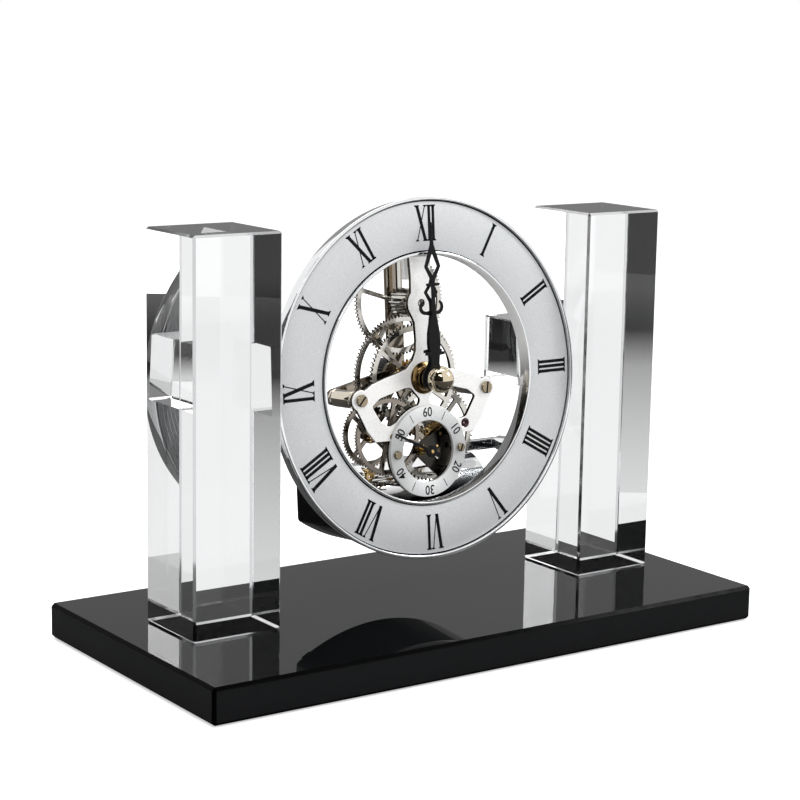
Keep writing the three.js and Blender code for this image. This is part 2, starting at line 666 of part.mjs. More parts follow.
// Hands
function addHands() {
  const minuteBack = MINUTE_HAND_FRONT + HAND_THICKNESS;
  const bore = MINUTE_ARBOR + SEAT;
  const minuteOutline = mirrored([
    [0.15, MINUTE_HAND_LENGTH],
    [0.6, 41],
    [1.9, 34.6],
    [0.7, 30.9],
    [0.8, 30],
    [1.5, 29.6],
    [1.5, 29],
    [0.8, 28.6],
    [1.1, 17],
    [1.75, 15],
    [1.75, 9],
    [3.5, 8.6],
    [3.5, 7.6],
    [1.75, 7.2],
    [1.75, 4],
    [3.2, 2],
    [3.6, 0],
    [2.6, -2.6],
  ]);
  const opening = outline([[0, 37.6], [-0.9, 34.6], [0, 32], [0.9, 34.6]]);
  const holes = [circle(0, 0, bore, 14), opening];
  const hand = plate(outline(minuteOutline), MINUTE_HAND_FRONT, minuteBack, holes);
  piece(clock, "minute_hand", hand.rotateY(MINUTE_READING), handBlack);

  const hourBack = HOUR_HAND_FRONT + HAND_THICKNESS;
  const hourOutline = mirrored([
    [0.15, HOUR_HAND_LENGTH],
    [0.7, 28.4],
    [1.8, 26.2],
    [0.8, 23.9],
    [2.1, 22.6],
    [2.4, 20.6],
    [1.2, 19.2],
    [1.7, 17.8],
    [1.7, 9.2],
    [3.5, 8.8],
    [3.5, 7.8],
    [1.7, 7.4],
    [2, 5],
    [3.8, 2.4],
    [4.2, 0],
    [2.8, -3.2],
  ]);
  const hourOpening = outline([[0, 28], [-0.8, 26.2], [0, 24.6], [0.8, 26.2]]);
  const hourHoles = [circle(0, 0, HOUR_TUBE + SEAT, 18), hourOpening];
  const hourHand = plate(outline(hourOutline), HOUR_HAND_FRONT, hourBack, hourHoles);
  piece(clock, "hour_hand", hourHand.rotateY(HOUR_READING), handBlack);
}

// Minute arbor with everything that turns once an hour
function addMinuteArbor() {
  const arborBack = knobFront + KNOB_LENGTH - MINUTE_ARBOR_BACK;
  piece(clock, "minute_arbor", rod(MINUTE_ARBOR, MINUTE_ARBOR_FRONT, arborBack, 16), chrome);
  const faceBack = MINUTE_HAND_FRONT - SEAT;
  const middle = faceBack - BALL_CUT * BALL_RADIUS;
  const reach = Math.asin(BALL_CUT);
  const profile = Array.from({ length: 8 }, (_, i) => {
    const angle = -TURN / 4 + ((TURN / 4 + reach) * i) / 7;
    return [BALL_RADIUS * Math.cos(angle), middle + BALL_RADIUS * Math.sin(angle)];
  });
  profile[0][0] = 0;
  const bore = MINUTE_ARBOR + SEAT;
  const nutEnd = MINUTE_ARBOR_FRONT - SEAT;
  const nut = turned([...profile, [bore, faceBack], [bore, nutEnd], [0, nutEnd]], 20);
  piece(clock, "ball_nut", nut, brass);

  const bored = (teeth, module, phase, front, back) =>
    plate(toothed(teeth, module, phase), front, back, [circle(0, 0, bore, 16)]);
  const cannonBack = motionWheelFront + WHEEL_THICKNESS;
  const cannonFront = motionWheelFront - PINION_OVERHANG;
  const cannon = bored(CANNON_TEETH, cannonModule, 0, cannonFront, cannonBack + PINION_OVERHANG);
  piece(clock, "cannon_pinion", cannon, brass);
  const centre = spokedWheel({
    teeth: CENTRE_TEETH,
    module: CENTRE_MODULE,
    front: centreWheelFront,
    bore,
    spokes: 5,
    turn: radians(20),
  });
  piece(clock, "centre_wheel", centre, nickel);
  const knobModule = (2 * KNOB_RADIUS) / (KNOB_TEETH + 1.5);
  const knob = bored(KNOB_TEETH, knobModule, 0, knobFront, knobFront + KNOB_LENGTH);
  piece(clock, "set_knob", knob, blackPlastic);
}

// Hour tube and wheel, turning round the minute arbor
function addHourWork() {
  const inner = MINUTE_ARBOR + RUNNING;
  const collar = HOUR_TUBE + COLLAR_WIDTH;
  const collarFront = HOUR_HAND_FRONT + HAND_THICKNESS + SEAT;
  const tubeBack = hourWheelFront + WHEEL_THICKNESS + PINION_OVERHANG;
  const tube = [
    [HOUR_TUBE, HOUR_HAND_FRONT - 0.2],
    [HOUR_TUBE, collarFront],
    [collar, collarFront],
    [collar, collarFront + COLLAR_THICKNESS],
    [HOUR_TUBE, collarFront + COLLAR_THICKNESS],
    [HOUR_TUBE, tubeBack],
    [inner, tubeBack],
    [inner, HOUR_HAND_FRONT - 0.2],
  ];
  piece(clock, "hour_tube", turned(closed(tube), 20), brass);
  const wheel = spokedWheel({
    teeth: HOUR_TEETH,
    module: hourModule,
    front: hourWheelFront,
    bore: HOUR_TUBE + SEAT,
    spokes: 4,
    turn: radians(10),
  });
  piece(clock, "hour_wheel", wheel, nickel);
}

// Motion wheel and pinion: the cannon pinion drives the wheel, the pinion drives the hour wheel
function addMotionWork() {
  const wheelPhase = meshed(CANNON_TEETH, 0, MOTION_TEETH, MOTION_ANGLE);
  const pinionPhase = meshed(HOUR_TEETH, 0, MOTION_PINION_TEETH, MOTION_ANGLE);
  const arborFront = cockFront - 0.2;
  const arbor = rod(PIVOT, arborFront, backPlateBack - 0.2);
  const pinionFront = hourWheelFront - PINION_OVERHANG;
  const pinion = pinionOn(
    MOTION_PINION_TEETH,
    hourModule,
    pinionPhase,
    pinionFront,
    motionWheelFront - SEAT,
  );
  const place = (shape) => shape.translate(motionX, 0, motionZ);
  piece(clock, "motion_pinion", place(geometryOf(join(arbor, pinion))), brass);
  const wheel = spokedWheel({
    teeth: MOTION_TEETH,
    module: cannonModule,
    phase: wheelPhase,
    front: motionWheelFront,
    bore: PIVOT + SEAT,
    spokes: 4,
  });
  piece(clock, "motion_wheel", place(wheel), nickel);
}

// Top wheel: its long pinion runs in the centre wheel
function addTopWork() {
  const heading = radians(90);
  const phase = meshed(CENTRE_TEETH, 0, TOP_PINION_TEETH, heading);
  const front = topWheelFront;
  const arbor = rod(TOP_ARBOR, PLATE_FRONT + 0.2, backPlateBack - 0.2);
  const pinion = pinionOn(TOP_PINION_TEETH, CENTRE_MODULE, phase, plateBack + TOP_PINION_GAP, front - SEAT);
  const place = (shape) => shape.translate(0, 0, topZ);
  piece(clock, "top_pinion", place(geometryOf(join(arbor, pinion))), chrome);
  const wheel = spokedWheel({
    teeth: TOP_TEETH,
    module: TOP_MODULE,
    front,
    bore: TOP_ARBOR + SEAT,
    spokes: 5,
    turn: radians(54),
  });
  piece(clock, "top_wheel", place(wheel), nickel);
}

// Cross arbor: driven by the drive, it turns the centre wheel and the seconds pinion
function addCrossWork() {
  const toCentre = Math.atan2(crossZ, crossX);
  const phase = meshed(CENTRE_TEETH, 0, CROSS_PINION_TEETH, toCentre);
  const arbor = rod(PIVOT, PLATE_FRONT + 0.2, backPlateBack - 0.2);
  const pinionFront = centreWheelFront - 3 * PINION_OVERHANG;
  const pinion = pinionOn(CROSS_PINION_TEETH, CENTRE_MODULE, phase, pinionFront, crossWheelFront - SEAT);
  const place = (shape) => shape.translate(crossX, 0, crossZ);
  piece(clock, "cross_pinion", place(geometryOf(join(arbor, pinion))), brass);
  const wheel = { module: CROSS_MODULE, bore: PIVOT + SEAT };
  const big = spokedWheel({ ...wheel, teeth: CROSS_TEETH, front: crossWheelFront, spokes: 4 });
  piece(clock, "cross_wheel", place(big), nickel);
  const small = spokedWheel({
    ...wheel,
    module: SECONDS_MODULE,
    teeth: DRIVE_TEETH,
    front: driveWheelFront,
    spokes: 4,
    turn: radians(30),
  });
  piece(clock, "seconds_drive_wheel", place(small), nickel);

  const outputPhase = meshed(CROSS_TEETH, 0, OUTPUT_PINION_TEETH, radians(-90));
  const leavesFront = crossWheelFront - PINION_OVERHANG;
  const leavesBack = crossWheelFront + WHEEL_THICKNESS + PINION_OVERHANG;
  const output = join(
    rod(OUTPUT_ARBOR, leavesFront - RUNNING, crossWheelFront + OUTPUT_REACH),
    pinionOn(OUTPUT_PINION_TEETH, CROSS_MODULE, outputPhase, leavesFront, leavesBack),
  );
  piece(clock, "drive_pinion", geometryOf(output).translate(outputX, 0, outputZ), brass);
}

// Seconds arbor and hand
function addSecondsWork() {
  const heading = Math.atan2(SECONDS_Z - crossZ, -crossX);
  const phase = meshed(DRIVE_TEETH, 0, SECONDS_PINION_TEETH, heading);
  const arbor = join(
    rod(PIVOT, SECONDS_HAND_FRONT - 0.2, cockBack),
    pinionOn(
      SECONDS_PINION_TEETH,
      SECONDS_MODULE,
      phase,
      driveWheelFront - 2 * PINION_OVERHANG,
      driveWheelFront + WHEEL_THICKNESS + PINION_OVERHANG,
    ),
  );
  piece(clock, "seconds_arbor", geometryOf(arbor).translate(0, 0, SECONDS_Z), brass);
  const pointer = outline([
    [-0.75, -SECONDS_HAND_TAIL],
    [0.75, -SECONDS_HAND_TAIL],
    [0.5, 2],
    [0.22, secondsHandLength],
    [-0.22, secondsHandLength],
    [-0.5, 2],
  ]);
  const handBack = SECONDS_HAND_FRONT + HAND_THICKNESS;
  const hub = rod(SECONDS_HUB, SECONDS_HAND_FRONT, handBack + 0.4, 18);
  const blank = join(plate(pointer, SECONDS_HAND_FRONT, handBack), hub);
  const hand = cut(blank, rod(PIVOT + SEAT, SECONDS_HAND_FRONT - 1, handBack + 1));
  const pointed = geometryOf(hand).rotateY(SECONDS_READING);
  piece(clock, "seconds_hand", pointed.translate(0, 0, SECONDS_Z), handBlack);
}

// Drive case: a foot on the case ring, a round shoulder, open at the rear
function shellProfile(inset) {
  const radius = DRIVE_RADIUS - inset;
  const rearAngle = Math.acos((DRIVE_BACK - DRIVE_AXIS_DEPTH) / DRIVE_RADIUS);
  const curve = arc(DRIVE_AXIS_DEPTH, DRIVE_AXIS_Z, radius, Math.PI, rearAngle, 14);
  const shoulder = curve.map((point) => [point.x, point.y]);
  const front = CASE_THICKNESS + SEAT + inset;
  const shelf = DRIVE_SHELF_Z - inset;
  const rear = DRIVE_BACK + (inset > 0 ? 2 : 0);
  return [
    [front, -60],
    [front, shelf],
    [DRIVE_AXIS_DEPTH - radius, shelf],
    ...shoulder,
    [rear, shoulder.at(-1)[1]],
    [rear, -60],
  ];
}
const within = (geometry, radius) => solidOf(geometry).intersect(solidOf(rod(radius, 0, 60, 72)));

function addDriveCase() {
  const outside = within(drawnOut(shellProfile(0), DRIVE_HALF_LENGTH), CASE_RADIUS - DRIVE_INSET);
  const inside = within(
    drawnOut(shellProfile(DRIVE_WALL), DRIVE_HALF_LENGTH - DRIVE_WALL),
    CASE_RADIUS - DRIVE_INSET - DRIVE_WALL,
  );
  const bore = rod(OUTPUT_ARBOR + RUNNING, crossWheelFront + WHEEL_THICKNESS, DRIVE_BACK);
  const shell = cut(outside.subtract(inside), bore.translate(outputX, 0, outputZ));
  piece(clock, "drive_case", shell, chrome);
}

// Drive body with the cell, its contacts and the door that slides over them
function addDrive() {
  const innerRadius = DRIVE_RADIUS - DRIVE_WALL - SEAT;
  const outerRadius = CASE_RADIUS - DRIVE_INSET - DRIVE_WALL - SEAT;
  const half = DRIVE_HALF_LENGTH - DRIVE_WALL - SEAT;
  const bodyBack = DRIVE_BACK - SEAT;
  const rearAngle = Math.acos((bodyBack - DRIVE_AXIS_DEPTH) / innerRadius);
  const shoulder = arc(DRIVE_AXIS_DEPTH, DRIVE_AXIS_Z, innerRadius, Math.PI, rearAngle, 12);
  const top = shoulder.map((point) => [point.x, point.y]);
  const profile = [[DRIVE_AXIS_DEPTH - innerRadius, -60], ...top, [bodyBack, -60]];
  const block = within(drawnOut(profile, half), outerRadius);
  const bodyTop = DRIVE_AXIS_Z + innerRadius * Math.sin(rearAngle);
  const bayHalf = CELL_LENGTH / 2 + 2 * SEAT + CONTACT_THICKNESS;
  const bayRadius = CELL_RADIUS + SEAT;
  const doorHalf = bayRadius + DOOR_LAP;
  const cellZ = bodyTop - RAIL_WIDTH - SEAT - doorHalf;
  const cellDepth = bodyBack - CELL_BACK - CELL_RADIUS;
  const bay = new THREE.BoxGeometry(2 * bayHalf, DRIVE_BACK, 2 * bayRadius);
  bay.translate(0, cellDepth - bayRadius + DRIVE_BACK / 2, cellZ);
  const doorFront = bodyBack + SEAT;
  const doorBack = doorFront + DOOR_THICKNESS;
  const railBack = doorBack + SEAT + RAIL_THICKNESS;
  const rail = (side) => {
    const near = cellZ + side * (doorHalf + SEAT);
    const far = near + side * RAIL_WIDTH;
    const lip = near - side * RAIL_LIP;
    const points = [
      [bodyBack - 0.5, near],
      [doorBack + SEAT, near],
      [doorBack + SEAT, lip],
      [railBack, lip],
      [railBack, far],
      [bodyBack - 0.5, far],
    ];
    return drawnOut(side > 0 ? points : points.reverse(), half - 2);
  };
  const rails = join(rail(1), rail(-1)).intersect(solidOf(rod(outerRadius, 0, 60, 72)));
  const body = cut(block.add(rails), bay);
  piece(clock, "drive_body", body, blackPlastic);

  const door = new THREE.BoxGeometry(2 * bayHalf + 3, DOOR_THICKNESS, 2 * doorHalf);
  door.translate(0, doorFront + DOOR_THICKNESS / 2, cellZ);
  const ridges = [-3, 0, 3].map((x) =>
    new THREE.BoxGeometry(1, 0.9, 7).translate(x + bayHalf - 6, doorBack + 0.3, cellZ),
  );
  piece(clock, "battery_door", join(door, ...ridges), blackPlastic);

  const cell = turned(
    [
      [0, 0],
      [CELL_RADIUS, 0],
      [CELL_RADIUS, CELL_LENGTH - CELL_POLE],
      [1.9, CELL_LENGTH - CELL_POLE],
      [1.9, CELL_LENGTH],
      [0, CELL_LENGTH],
    ],
    28,
  );
  cell.rotateZ(-TURN / 4).translate(-CELL_LENGTH / 2, cellDepth, cellZ);
  piece(clock, "dry_cell", cell, cellSleeve);
  for (const [side, sign] of [["minus", -1], ["plus", 1]]) {
    const strip = new THREE.BoxGeometry(CONTACT_THICKNESS, ...CONTACT_SIZE);
    strip.translate(sign * (CELL_LENGTH / 2 + SEAT + CONTACT_THICKNESS / 2), cellDepth, cellZ);
    piece(clock, `contact_${side}`, strip, nickel);
  }
  const board = new THREE.BoxGeometry(...BOARD_SIZE);
  const boardMiddle = DRIVE_AXIS_DEPTH - innerRadius - SEAT - BOARD_SIZE[1] / 2;
  piece(clock, "circuit_board", board.translate(0, boardMiddle, FOOT_Z), boardGreen);
  const stator = new THREE.BoxGeometry(...STATOR_SIZE);
  const statorMiddle = boardMiddle - BOARD_SIZE[1] / 2 - SEAT - STATOR_SIZE[1] / 2;
  piece(clock, "stator", stator.translate(STATOR_OFFSET, statorMiddle, FOOT_Z), nickel);
  const coil = rod(COIL_RADIUS, 0, COIL_LENGTH, 20).rotateZ(-TURN / 4);
  const coilDepth = statorMiddle - STATOR_SIZE[1] / 2 - SEAT - COIL_RADIUS;
  piece(clock, "coil", coil.translate(COIL_LEFT, coilDepth, FOOT_Z), copper);
}

// Clamp bar over the drive case, from the back plate to a post on the case ring
function addClamp() {
  const front = backPlateBack + SEAT;
  const back = front + CLAMP_THICKNESS;
  const clampBar = plate(bar(...CLAMP_FOOT, ...CLAMP_POST, CLAMP_HALF), front, back);
  const holes = [CLAMP_FOOT, CLAMP_POST].map(([x, z]) =>
    turnedHole(SCREW_SHANK, front - 1, back + 1, x, z),
  );
  piece(clock, "clamp_bar", cut(solidOf(clampBar), ...holes), chrome);
  const post = [
    [0, CASE_THICKNESS + SEAT],
    [POST_RADIUS, CASE_THICKNESS + SEAT],
    [POST_RADIUS, front - SEAT],
    [SCREW_SHANK + SEAT, front - SEAT],
    [SCREW_SHANK + SEAT, front - CLAMP_GRIP - 0.5],
    [0, front - CLAMP_GRIP - 0.5],
  ];
  piece(clock, "clamp_post", turned(post, 18, ...CLAMP_POST), chrome);
  addRearScrew("clamp_screw_inner", ...CLAMP_FOOT, back, backPlateFront + 0.2, CLAMP_HEAD);
  addRearScrew("clamp_screw_outer", ...CLAMP_POST, back, front - CLAMP_GRIP, CLAMP_HEAD);
}

addStand();
addCase();
addFrontPlate();
addBackPlate();
addPillars();
addHanger();
addSecondsDial();
addHands();
addMinuteArbor();
addHourWork();
addMotionWork();
addTopWork();
addCrossWork();
addSecondsWork();
addDriveCase();
addDrive();
addClamp();

export default deskClock;
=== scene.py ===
import json
from math import acos, asin, atan2, cos, degrees, hypot, pi, radians, sin

import bmesh
import bpy
from mathutils import Matrix, Vector


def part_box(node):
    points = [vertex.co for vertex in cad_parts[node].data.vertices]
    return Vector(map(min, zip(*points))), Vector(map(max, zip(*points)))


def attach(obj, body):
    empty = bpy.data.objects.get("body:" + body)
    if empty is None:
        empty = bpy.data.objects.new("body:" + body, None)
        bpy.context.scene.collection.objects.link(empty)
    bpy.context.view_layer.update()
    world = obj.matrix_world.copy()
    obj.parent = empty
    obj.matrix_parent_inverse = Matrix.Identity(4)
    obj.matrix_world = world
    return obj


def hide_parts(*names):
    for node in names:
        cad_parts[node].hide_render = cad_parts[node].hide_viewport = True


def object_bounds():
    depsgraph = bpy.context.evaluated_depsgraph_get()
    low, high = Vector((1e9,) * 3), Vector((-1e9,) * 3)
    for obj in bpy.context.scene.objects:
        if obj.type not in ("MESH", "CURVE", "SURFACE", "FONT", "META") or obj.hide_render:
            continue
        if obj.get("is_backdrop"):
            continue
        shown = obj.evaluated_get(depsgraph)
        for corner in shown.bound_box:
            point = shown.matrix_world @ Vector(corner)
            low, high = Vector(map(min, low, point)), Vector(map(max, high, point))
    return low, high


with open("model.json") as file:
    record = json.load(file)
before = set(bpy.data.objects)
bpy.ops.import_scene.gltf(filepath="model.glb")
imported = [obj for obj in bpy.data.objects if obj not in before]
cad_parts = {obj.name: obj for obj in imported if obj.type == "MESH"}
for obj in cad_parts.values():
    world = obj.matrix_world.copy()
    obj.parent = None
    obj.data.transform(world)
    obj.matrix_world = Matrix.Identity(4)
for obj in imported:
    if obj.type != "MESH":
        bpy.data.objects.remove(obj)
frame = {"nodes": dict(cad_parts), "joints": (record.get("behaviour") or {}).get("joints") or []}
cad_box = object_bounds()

# The shot: a long lens a little above the slab, left of the clock, in a white
# studio. The lamps are soft panels, and dark cards stand where the polished
# metal and the crystal need something dark to show their edges.
MM = 0.001
CAMERA_PLACE = (-385.6, -543.0, 197.6)
CAMERA_YAW = radians(35.04)
CAMERA_DIP = radians(10.59)
CAMERA_ROLL = radians(0.95)
CAMERA_LENS = 98.4
SENSOR = 36.0
DAYLIGHT = 0.55
FLOOR_HALF = 3000
FLOOR_DROP = -0.4
FLOOR_WHITE = 0.95
FLOOR_IN_METAL = 0.06
DARK_NEAR, DARK_FAR = 620, 900
TURNED_BACK = 2.5


def placed(name, data):
    """An object of some data, linked to the scene."""
    piece = bpy.data.objects.new(name, data)
    bpy.context.collection.objects.link(piece)
    return piece


def add_camera():
    data = bpy.data.cameras.new("photo_camera")
    data.lens, data.sensor_width, data.clip_start = CAMERA_LENS, SENSOR, 0.01
    camera = placed("photo_camera", data)
    camera.matrix_world = Matrix.Translation(Vector(CAMERA_PLACE) * MM)
    turns = ((-CAMERA_YAW, "Z"), (pi / 2 - CAMERA_DIP, "X"), (CAMERA_ROLL, "Z"))
    for angle, axis in turns:
        camera.matrix_world = camera.matrix_world @ Matrix.Rotation(angle, 4, axis)
    bpy.context.scene.camera = camera


def feed(tree, node, inputs):
    """Sets inputs of a shader node: each is a plain value or another node's output."""
    for name, value in inputs.items():
        if isinstance(value, bpy.types.NodeSocket):
            tree.links.new(value, node.inputs[name])
        else:
            node.inputs[name].default_value = value


def new_node(tree, kind, inputs=None, **settings):
    node = tree.nodes.new("ShaderNode" + kind)
    for name, value in settings.items():
        setattr(node, name, value)
    feed(tree, node, inputs or {})
    return node


def reckon(tree, operation, *values, clamp=False):
    """One step of arithmetic: returns its result."""
    return new_node(tree, "Math", dict(enumerate(values)), operation=operation, use_clamp=clamp).outputs[0]


def spread(tree, value, start, end, low=0.0, high=1.0, smooth=False):
    """Maps a value from one range to another: returns the result."""
    kind = "SMOOTHSTEP" if smooth else "LINEAR"
    ends = {"Value": value, "From Min": start, "From Max": end, "To Min": low, "To Max": high}
    return new_node(tree, "MapRange", ends, interpolation_type=kind).outputs["Result"]


def surface_place(tree):
    return new_node(tree, "TexCoord").outputs["Object"]


def add_world():
    """Plain white to the eye, in mirrors and through glass, and a softer daylight."""
    world = bpy.data.worlds.new("studio")
    world.use_nodes = True
    bpy.context.scene.world = world
    tree = world.node_tree
    path = new_node(tree, "LightPath").outputs
    seen = reckon(tree, "MAXIMUM", path["Is Camera Ray"], path["Is Glossy Ray"])
    seen = reckon(tree, "MAXIMUM", seen, path["Is Transmission Ray"])
    strength = spread(tree, seen, 0.0, 1.0, DAYLIGHT, 1.0)
    feed(tree, tree.nodes["Background"], {"Color": (1, 1, 1, 1), "Strength": strength})


def add_lamp(name, place, aim_height, size, watts):
    data = bpy.data.lights.new(name, "AREA")
    data.shape = "RECTANGLE"
    data.size, data.size_y = size[0] * MM, size[1] * MM
    data.energy = watts
    heading = (Vector((0, 0, aim_height)) - Vector(place)).to_track_quat("-Z", "Y")
    place = Matrix.Translation(Vector(place) * MM)
    placed(name, data).matrix_world = place @ heading.to_matrix().to_4x4()


def studio_sheet(name, corners):
    """A flat sheet with a material of its own: returns it with the material's nodes."""
    mesh = bpy.data.meshes.new(name)
    mesh.from_pydata([Vector(corner) * MM for corner in corners], [], [(0, 1, 2, 3)])
    material = bpy.data.materials.new(name)
    material.use_nodes = True
    mesh.materials.append(material)
    return placed(name, mesh), material.node_tree


def add_floor():
    """White table top that fades into the backdrop and keeps the slab's shadow."""
    quarters = ((-1, -1), (1, -1), (1, 1), (-1, 1))
    corners = [(x * FLOOR_HALF, y * FLOOR_HALF, FLOOR_DROP) for x, y in quarters]
    floor, tree = studio_sheet("table_top", corners)
    path = new_node(tree, "LightPath").outputs
    through = path["Is Transmission Ray"]
    mirrored = reckon(tree, "SUBTRACT", path["Is Glossy Ray"], through, clamp=True)
    reach = new_node(tree, "VectorMath", {0: surface_place(tree)}, operation="LENGTH").outputs["Value"]
    far = spread(tree, reach, DARK_NEAR * MM, DARK_FAR * MM, smooth=True)
    seen = reckon(tree, "MAXIMUM", reckon(tree, "MULTIPLY", path["Is Camera Ray"], 0.5), through)
    glow = reckon(tree, "ADD", seen, reckon(tree, "MULTIPLY", mirrored, far))
    aside = reckon(tree, "MAXIMUM", mirrored, through)
    finish = {"Base Color": spread(tree, aside, 0.0, 1.0, FLOOR_WHITE, FLOOR_IN_METAL), "Roughness": 0.6}
    finish |= {"Specular IOR Level": 0.1, "Emission Color": (1, 1, 1, 1), "Emission Strength": glow}
    feed(tree, tree.nodes["Principled BSDF"], finish)
    floor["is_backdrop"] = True


def add_card(name, corners, shade, in_crystal=False, fade=None):
    """A studio card. Metal mirrors it, or else it shows where crystal turns light back.
    A fade is a direction, the distances where it starts and ends, and its first shade."""
    card, tree = studio_sheet(name, corners)
    tree.nodes.remove(tree.nodes["Principled BSDF"])
    path = new_node(tree, "LightPath").outputs
    if in_crystal:
        shown = reckon(tree, "GREATER_THAN", path["Ray Depth"], TURNED_BACK)
    else:
        shown = reckon(tree, "SUBTRACT", path["Ray Depth"], path["Transmission Depth"], clamp=True)
    tone = (shade, shade, shade, 1)
    if fade:
        heading, near, far, first = fade
        along = new_node(tree, "VectorMath", {0: surface_place(tree), 1: heading}, operation="DOT_PRODUCT")
        tone = spread(tree, along.outputs["Value"], near * MM, far * MM, first, shade)
    glow = new_node(tree, "Emission", {"Color": tone}).outputs[0]
    clear = new_node(tree, "BsdfTransparent").outputs[0]
    blend = new_node(tree, "MixShader", {0: shown, 1: clear, 2: glow}).outputs[0]
    feed(tree, tree.nodes["Material Output"], {"Surface": blend})
    card.visible_camera = card.visible_diffuse = card.visible_shadow = False
    card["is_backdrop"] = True


def upright_card(start, end, low, high):
    """Corners of a card that stands over a line on the table."""
    return [(*start, low), (*end, low), (*end, high), (*start, high)]


bpy.context.scene.view_settings.view_transform = "Standard"
add_camera()
add_world()
add_lamp("key_panel", (650, -400, 600), 70, (260, 260), 3.0)
add_lamp("fill_panel", (-500, -600, 700), 70, (500, 500), 2.5)
add_lamp("top_panel", (0, 150, 800), 60, (700, 400), 3.0)
add_floor()
STRIP_FOOT = [(-370, 243, 1), (-90, 437, 1), (87, 183, 1), (-193, -11, 1)]
add_card("grey_card", upright_card((100, 600), (900, 600), 0, 420), 0.33)
add_card("strip_card", upright_card((-370, 243), (-90, 437), 0, 170), 0.003, True, ((0, 0, 1), 0, 20, 0.42))
add_card("strip_foot", STRIP_FOOT, 0.42, True, ((-0.57, 0.82, 0), 100, 410, 0.85))
add_card("dark_card", upright_card((-1000, 100), (-250, -950), 0, 2600), 0.012)
add_card("side_card", upright_card((-1000, 100), (-800, 900), 0, 2600), 0.012)
add_card("flag_card", upright_card((13, -384), (327, -164), 18, 58), 0.01, True, ((0, 0, 1), 20, 30, 0.8))
add_card("light_box", upright_card((-12, -536), (478, -192), 0, 260), 2.8, True)

# Base slab: a block of black crystal glass, ground flat and polished, with a
# narrow bevel ground along every edge. Everything else stands on it.
SLAB_BEVEL = 1.0
FLAT_FACE = 0.98


def new_group(name, inputs, outputs):
    """A shader node group: returns it with its inputs and the node that takes its outputs."""
    group = bpy.data.node_groups.new(name, "ShaderNodeTree")
    for label, value in inputs.items():
        kind = "Float" if isinstance(value, float) else {3: "Vector", 4: "Color"}[len(value)]
        socket = group.interface.new_socket(label, in_out="INPUT", socket_type="NodeSocket" + kind)
        socket.default_value = value
    for label in outputs:
        kind = "Color" if label == "Color" else "Float"
        group.interface.new_socket(label, in_out="OUTPUT", socket_type="NodeSocket" + kind)
    return group, group.nodes.new("NodeGroupInput").outputs, group.nodes.new("NodeGroupOutput")


def polish_group():
    """Faint rub marks in a polish: a roughness between two values, and a height."""
    inputs = {"Scale": 60.0, "Smooth": 0.03, "Rubbed": 0.12}
    group, given, leave = new_group("polish_marks", inputs, ("Roughness", "Height"))
    place = surface_place(group)
    broad = new_node(group, "TexNoise", {"Vector": place, "Scale": given["Scale"], "Detail": 4.0})
    rough = spread(group, broad.outputs["Fac"], 0.35, 0.75, given["Smooth"], given["Rubbed"])
    finer = reckon(group, "MULTIPLY", given["Scale"], 14.0)
    fine = new_node(group, "TexNoise", {"Vector": place, "Scale": finer, "Detail": 2.0})
    feed(group, leave, {"Roughness": rough, "Height": fine.outputs["Fac"]})
    return group


POLISH = polish_group()


def new_material(name, base, sockets):
    """A Principled material: returns it with its nodes and its shader."""
    material = bpy.data.materials.new(name)
    material.use_nodes = True
    tree = material.node_tree
    shader = tree.nodes["Principled BSDF"]
    feed(tree, shader, {"Base Color": (*base, 1), **sockets})
    return material, tree, shader


def add_relief(tree, shader, height, depth, strength):
    """Fine relief; its depth is in millimetres."""
    bump = new_node(tree, "Bump", {"Height": height, "Distance": depth * MM, "Strength": strength})
    feed(tree, shader, {"Normal": bump.outputs["Normal"]})


def polished(name, base, smooth, rubbed, scale, sockets={}, depth=0.0):
    """A polished material, smooth with rubbed patches. Its sockets are those of the shader."""
    material, tree, shader = new_material(name, base, sockets)
    values = {"Scale": scale, "Smooth": smooth, "Rubbed": rubbed}
    marks = new_node(tree, "Group", values, node_tree=POLISH).outputs
    feed(tree, shader, {"Roughness": marks["Roughness"]})
    if depth:
        add_relief(tree, shader, marks["Height"], depth, 0.5)
    return material


def finish_mesh(shape, name, smooth_angle=None):
    """A mesh from a bmesh, with its edges sharp above an angle, or flat all over."""
    bmesh.ops.recalc_face_normals(shape, faces=shape.faces)
    mesh = bpy.data.meshes.new(name)
    shape.to_mesh(mesh)
    shape.free()
    if smooth_angle is not None:
        mesh.polygons.foreach_set("use_smooth", [True] * len(mesh.polygons))
        mesh.set_sharp_from_angle(angle=radians(smooth_angle))
    return mesh


def piece_from(shape, name, body, material, replaced, angle=None):
    """Puts a finished shape in the scene and ties it to its body, slot and nodes."""
    piece = placed(name, finish_mesh(shape, name, angle))
    piece.data.materials.append(material)
    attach(piece, body)
    if replaced:
        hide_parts(*replaced)
    return piece


def second_finish(piece, material, shows_on):
    """A second material on the faces that a test picks out."""
    piece.data.materials.append(material)
    for polygon in piece.data.polygons:
        if shows_on(polygon):
            polygon.material_index = 1


def ground_block(low, high, bevel, steps=1):
    """A block between two corners with its edges ground off."""
    shape = bmesh.new()
    bmesh.ops.create_cube(shape, size=1)
    for vert in shape.verts:
        vert.co = Vector([(low[i] + high[i]) / 2 + vert.co[i] * (high[i] - low[i]) for i in range(3)])
    bmesh.ops.bevel(shape, geom=shape.edges[:], offset=bevel, segments=steps, affect="EDGES", profile=0.5)
    return shape


def is_bevel(polygon):
    return max(abs(part) for part in polygon.normal) < FLAT_FACE


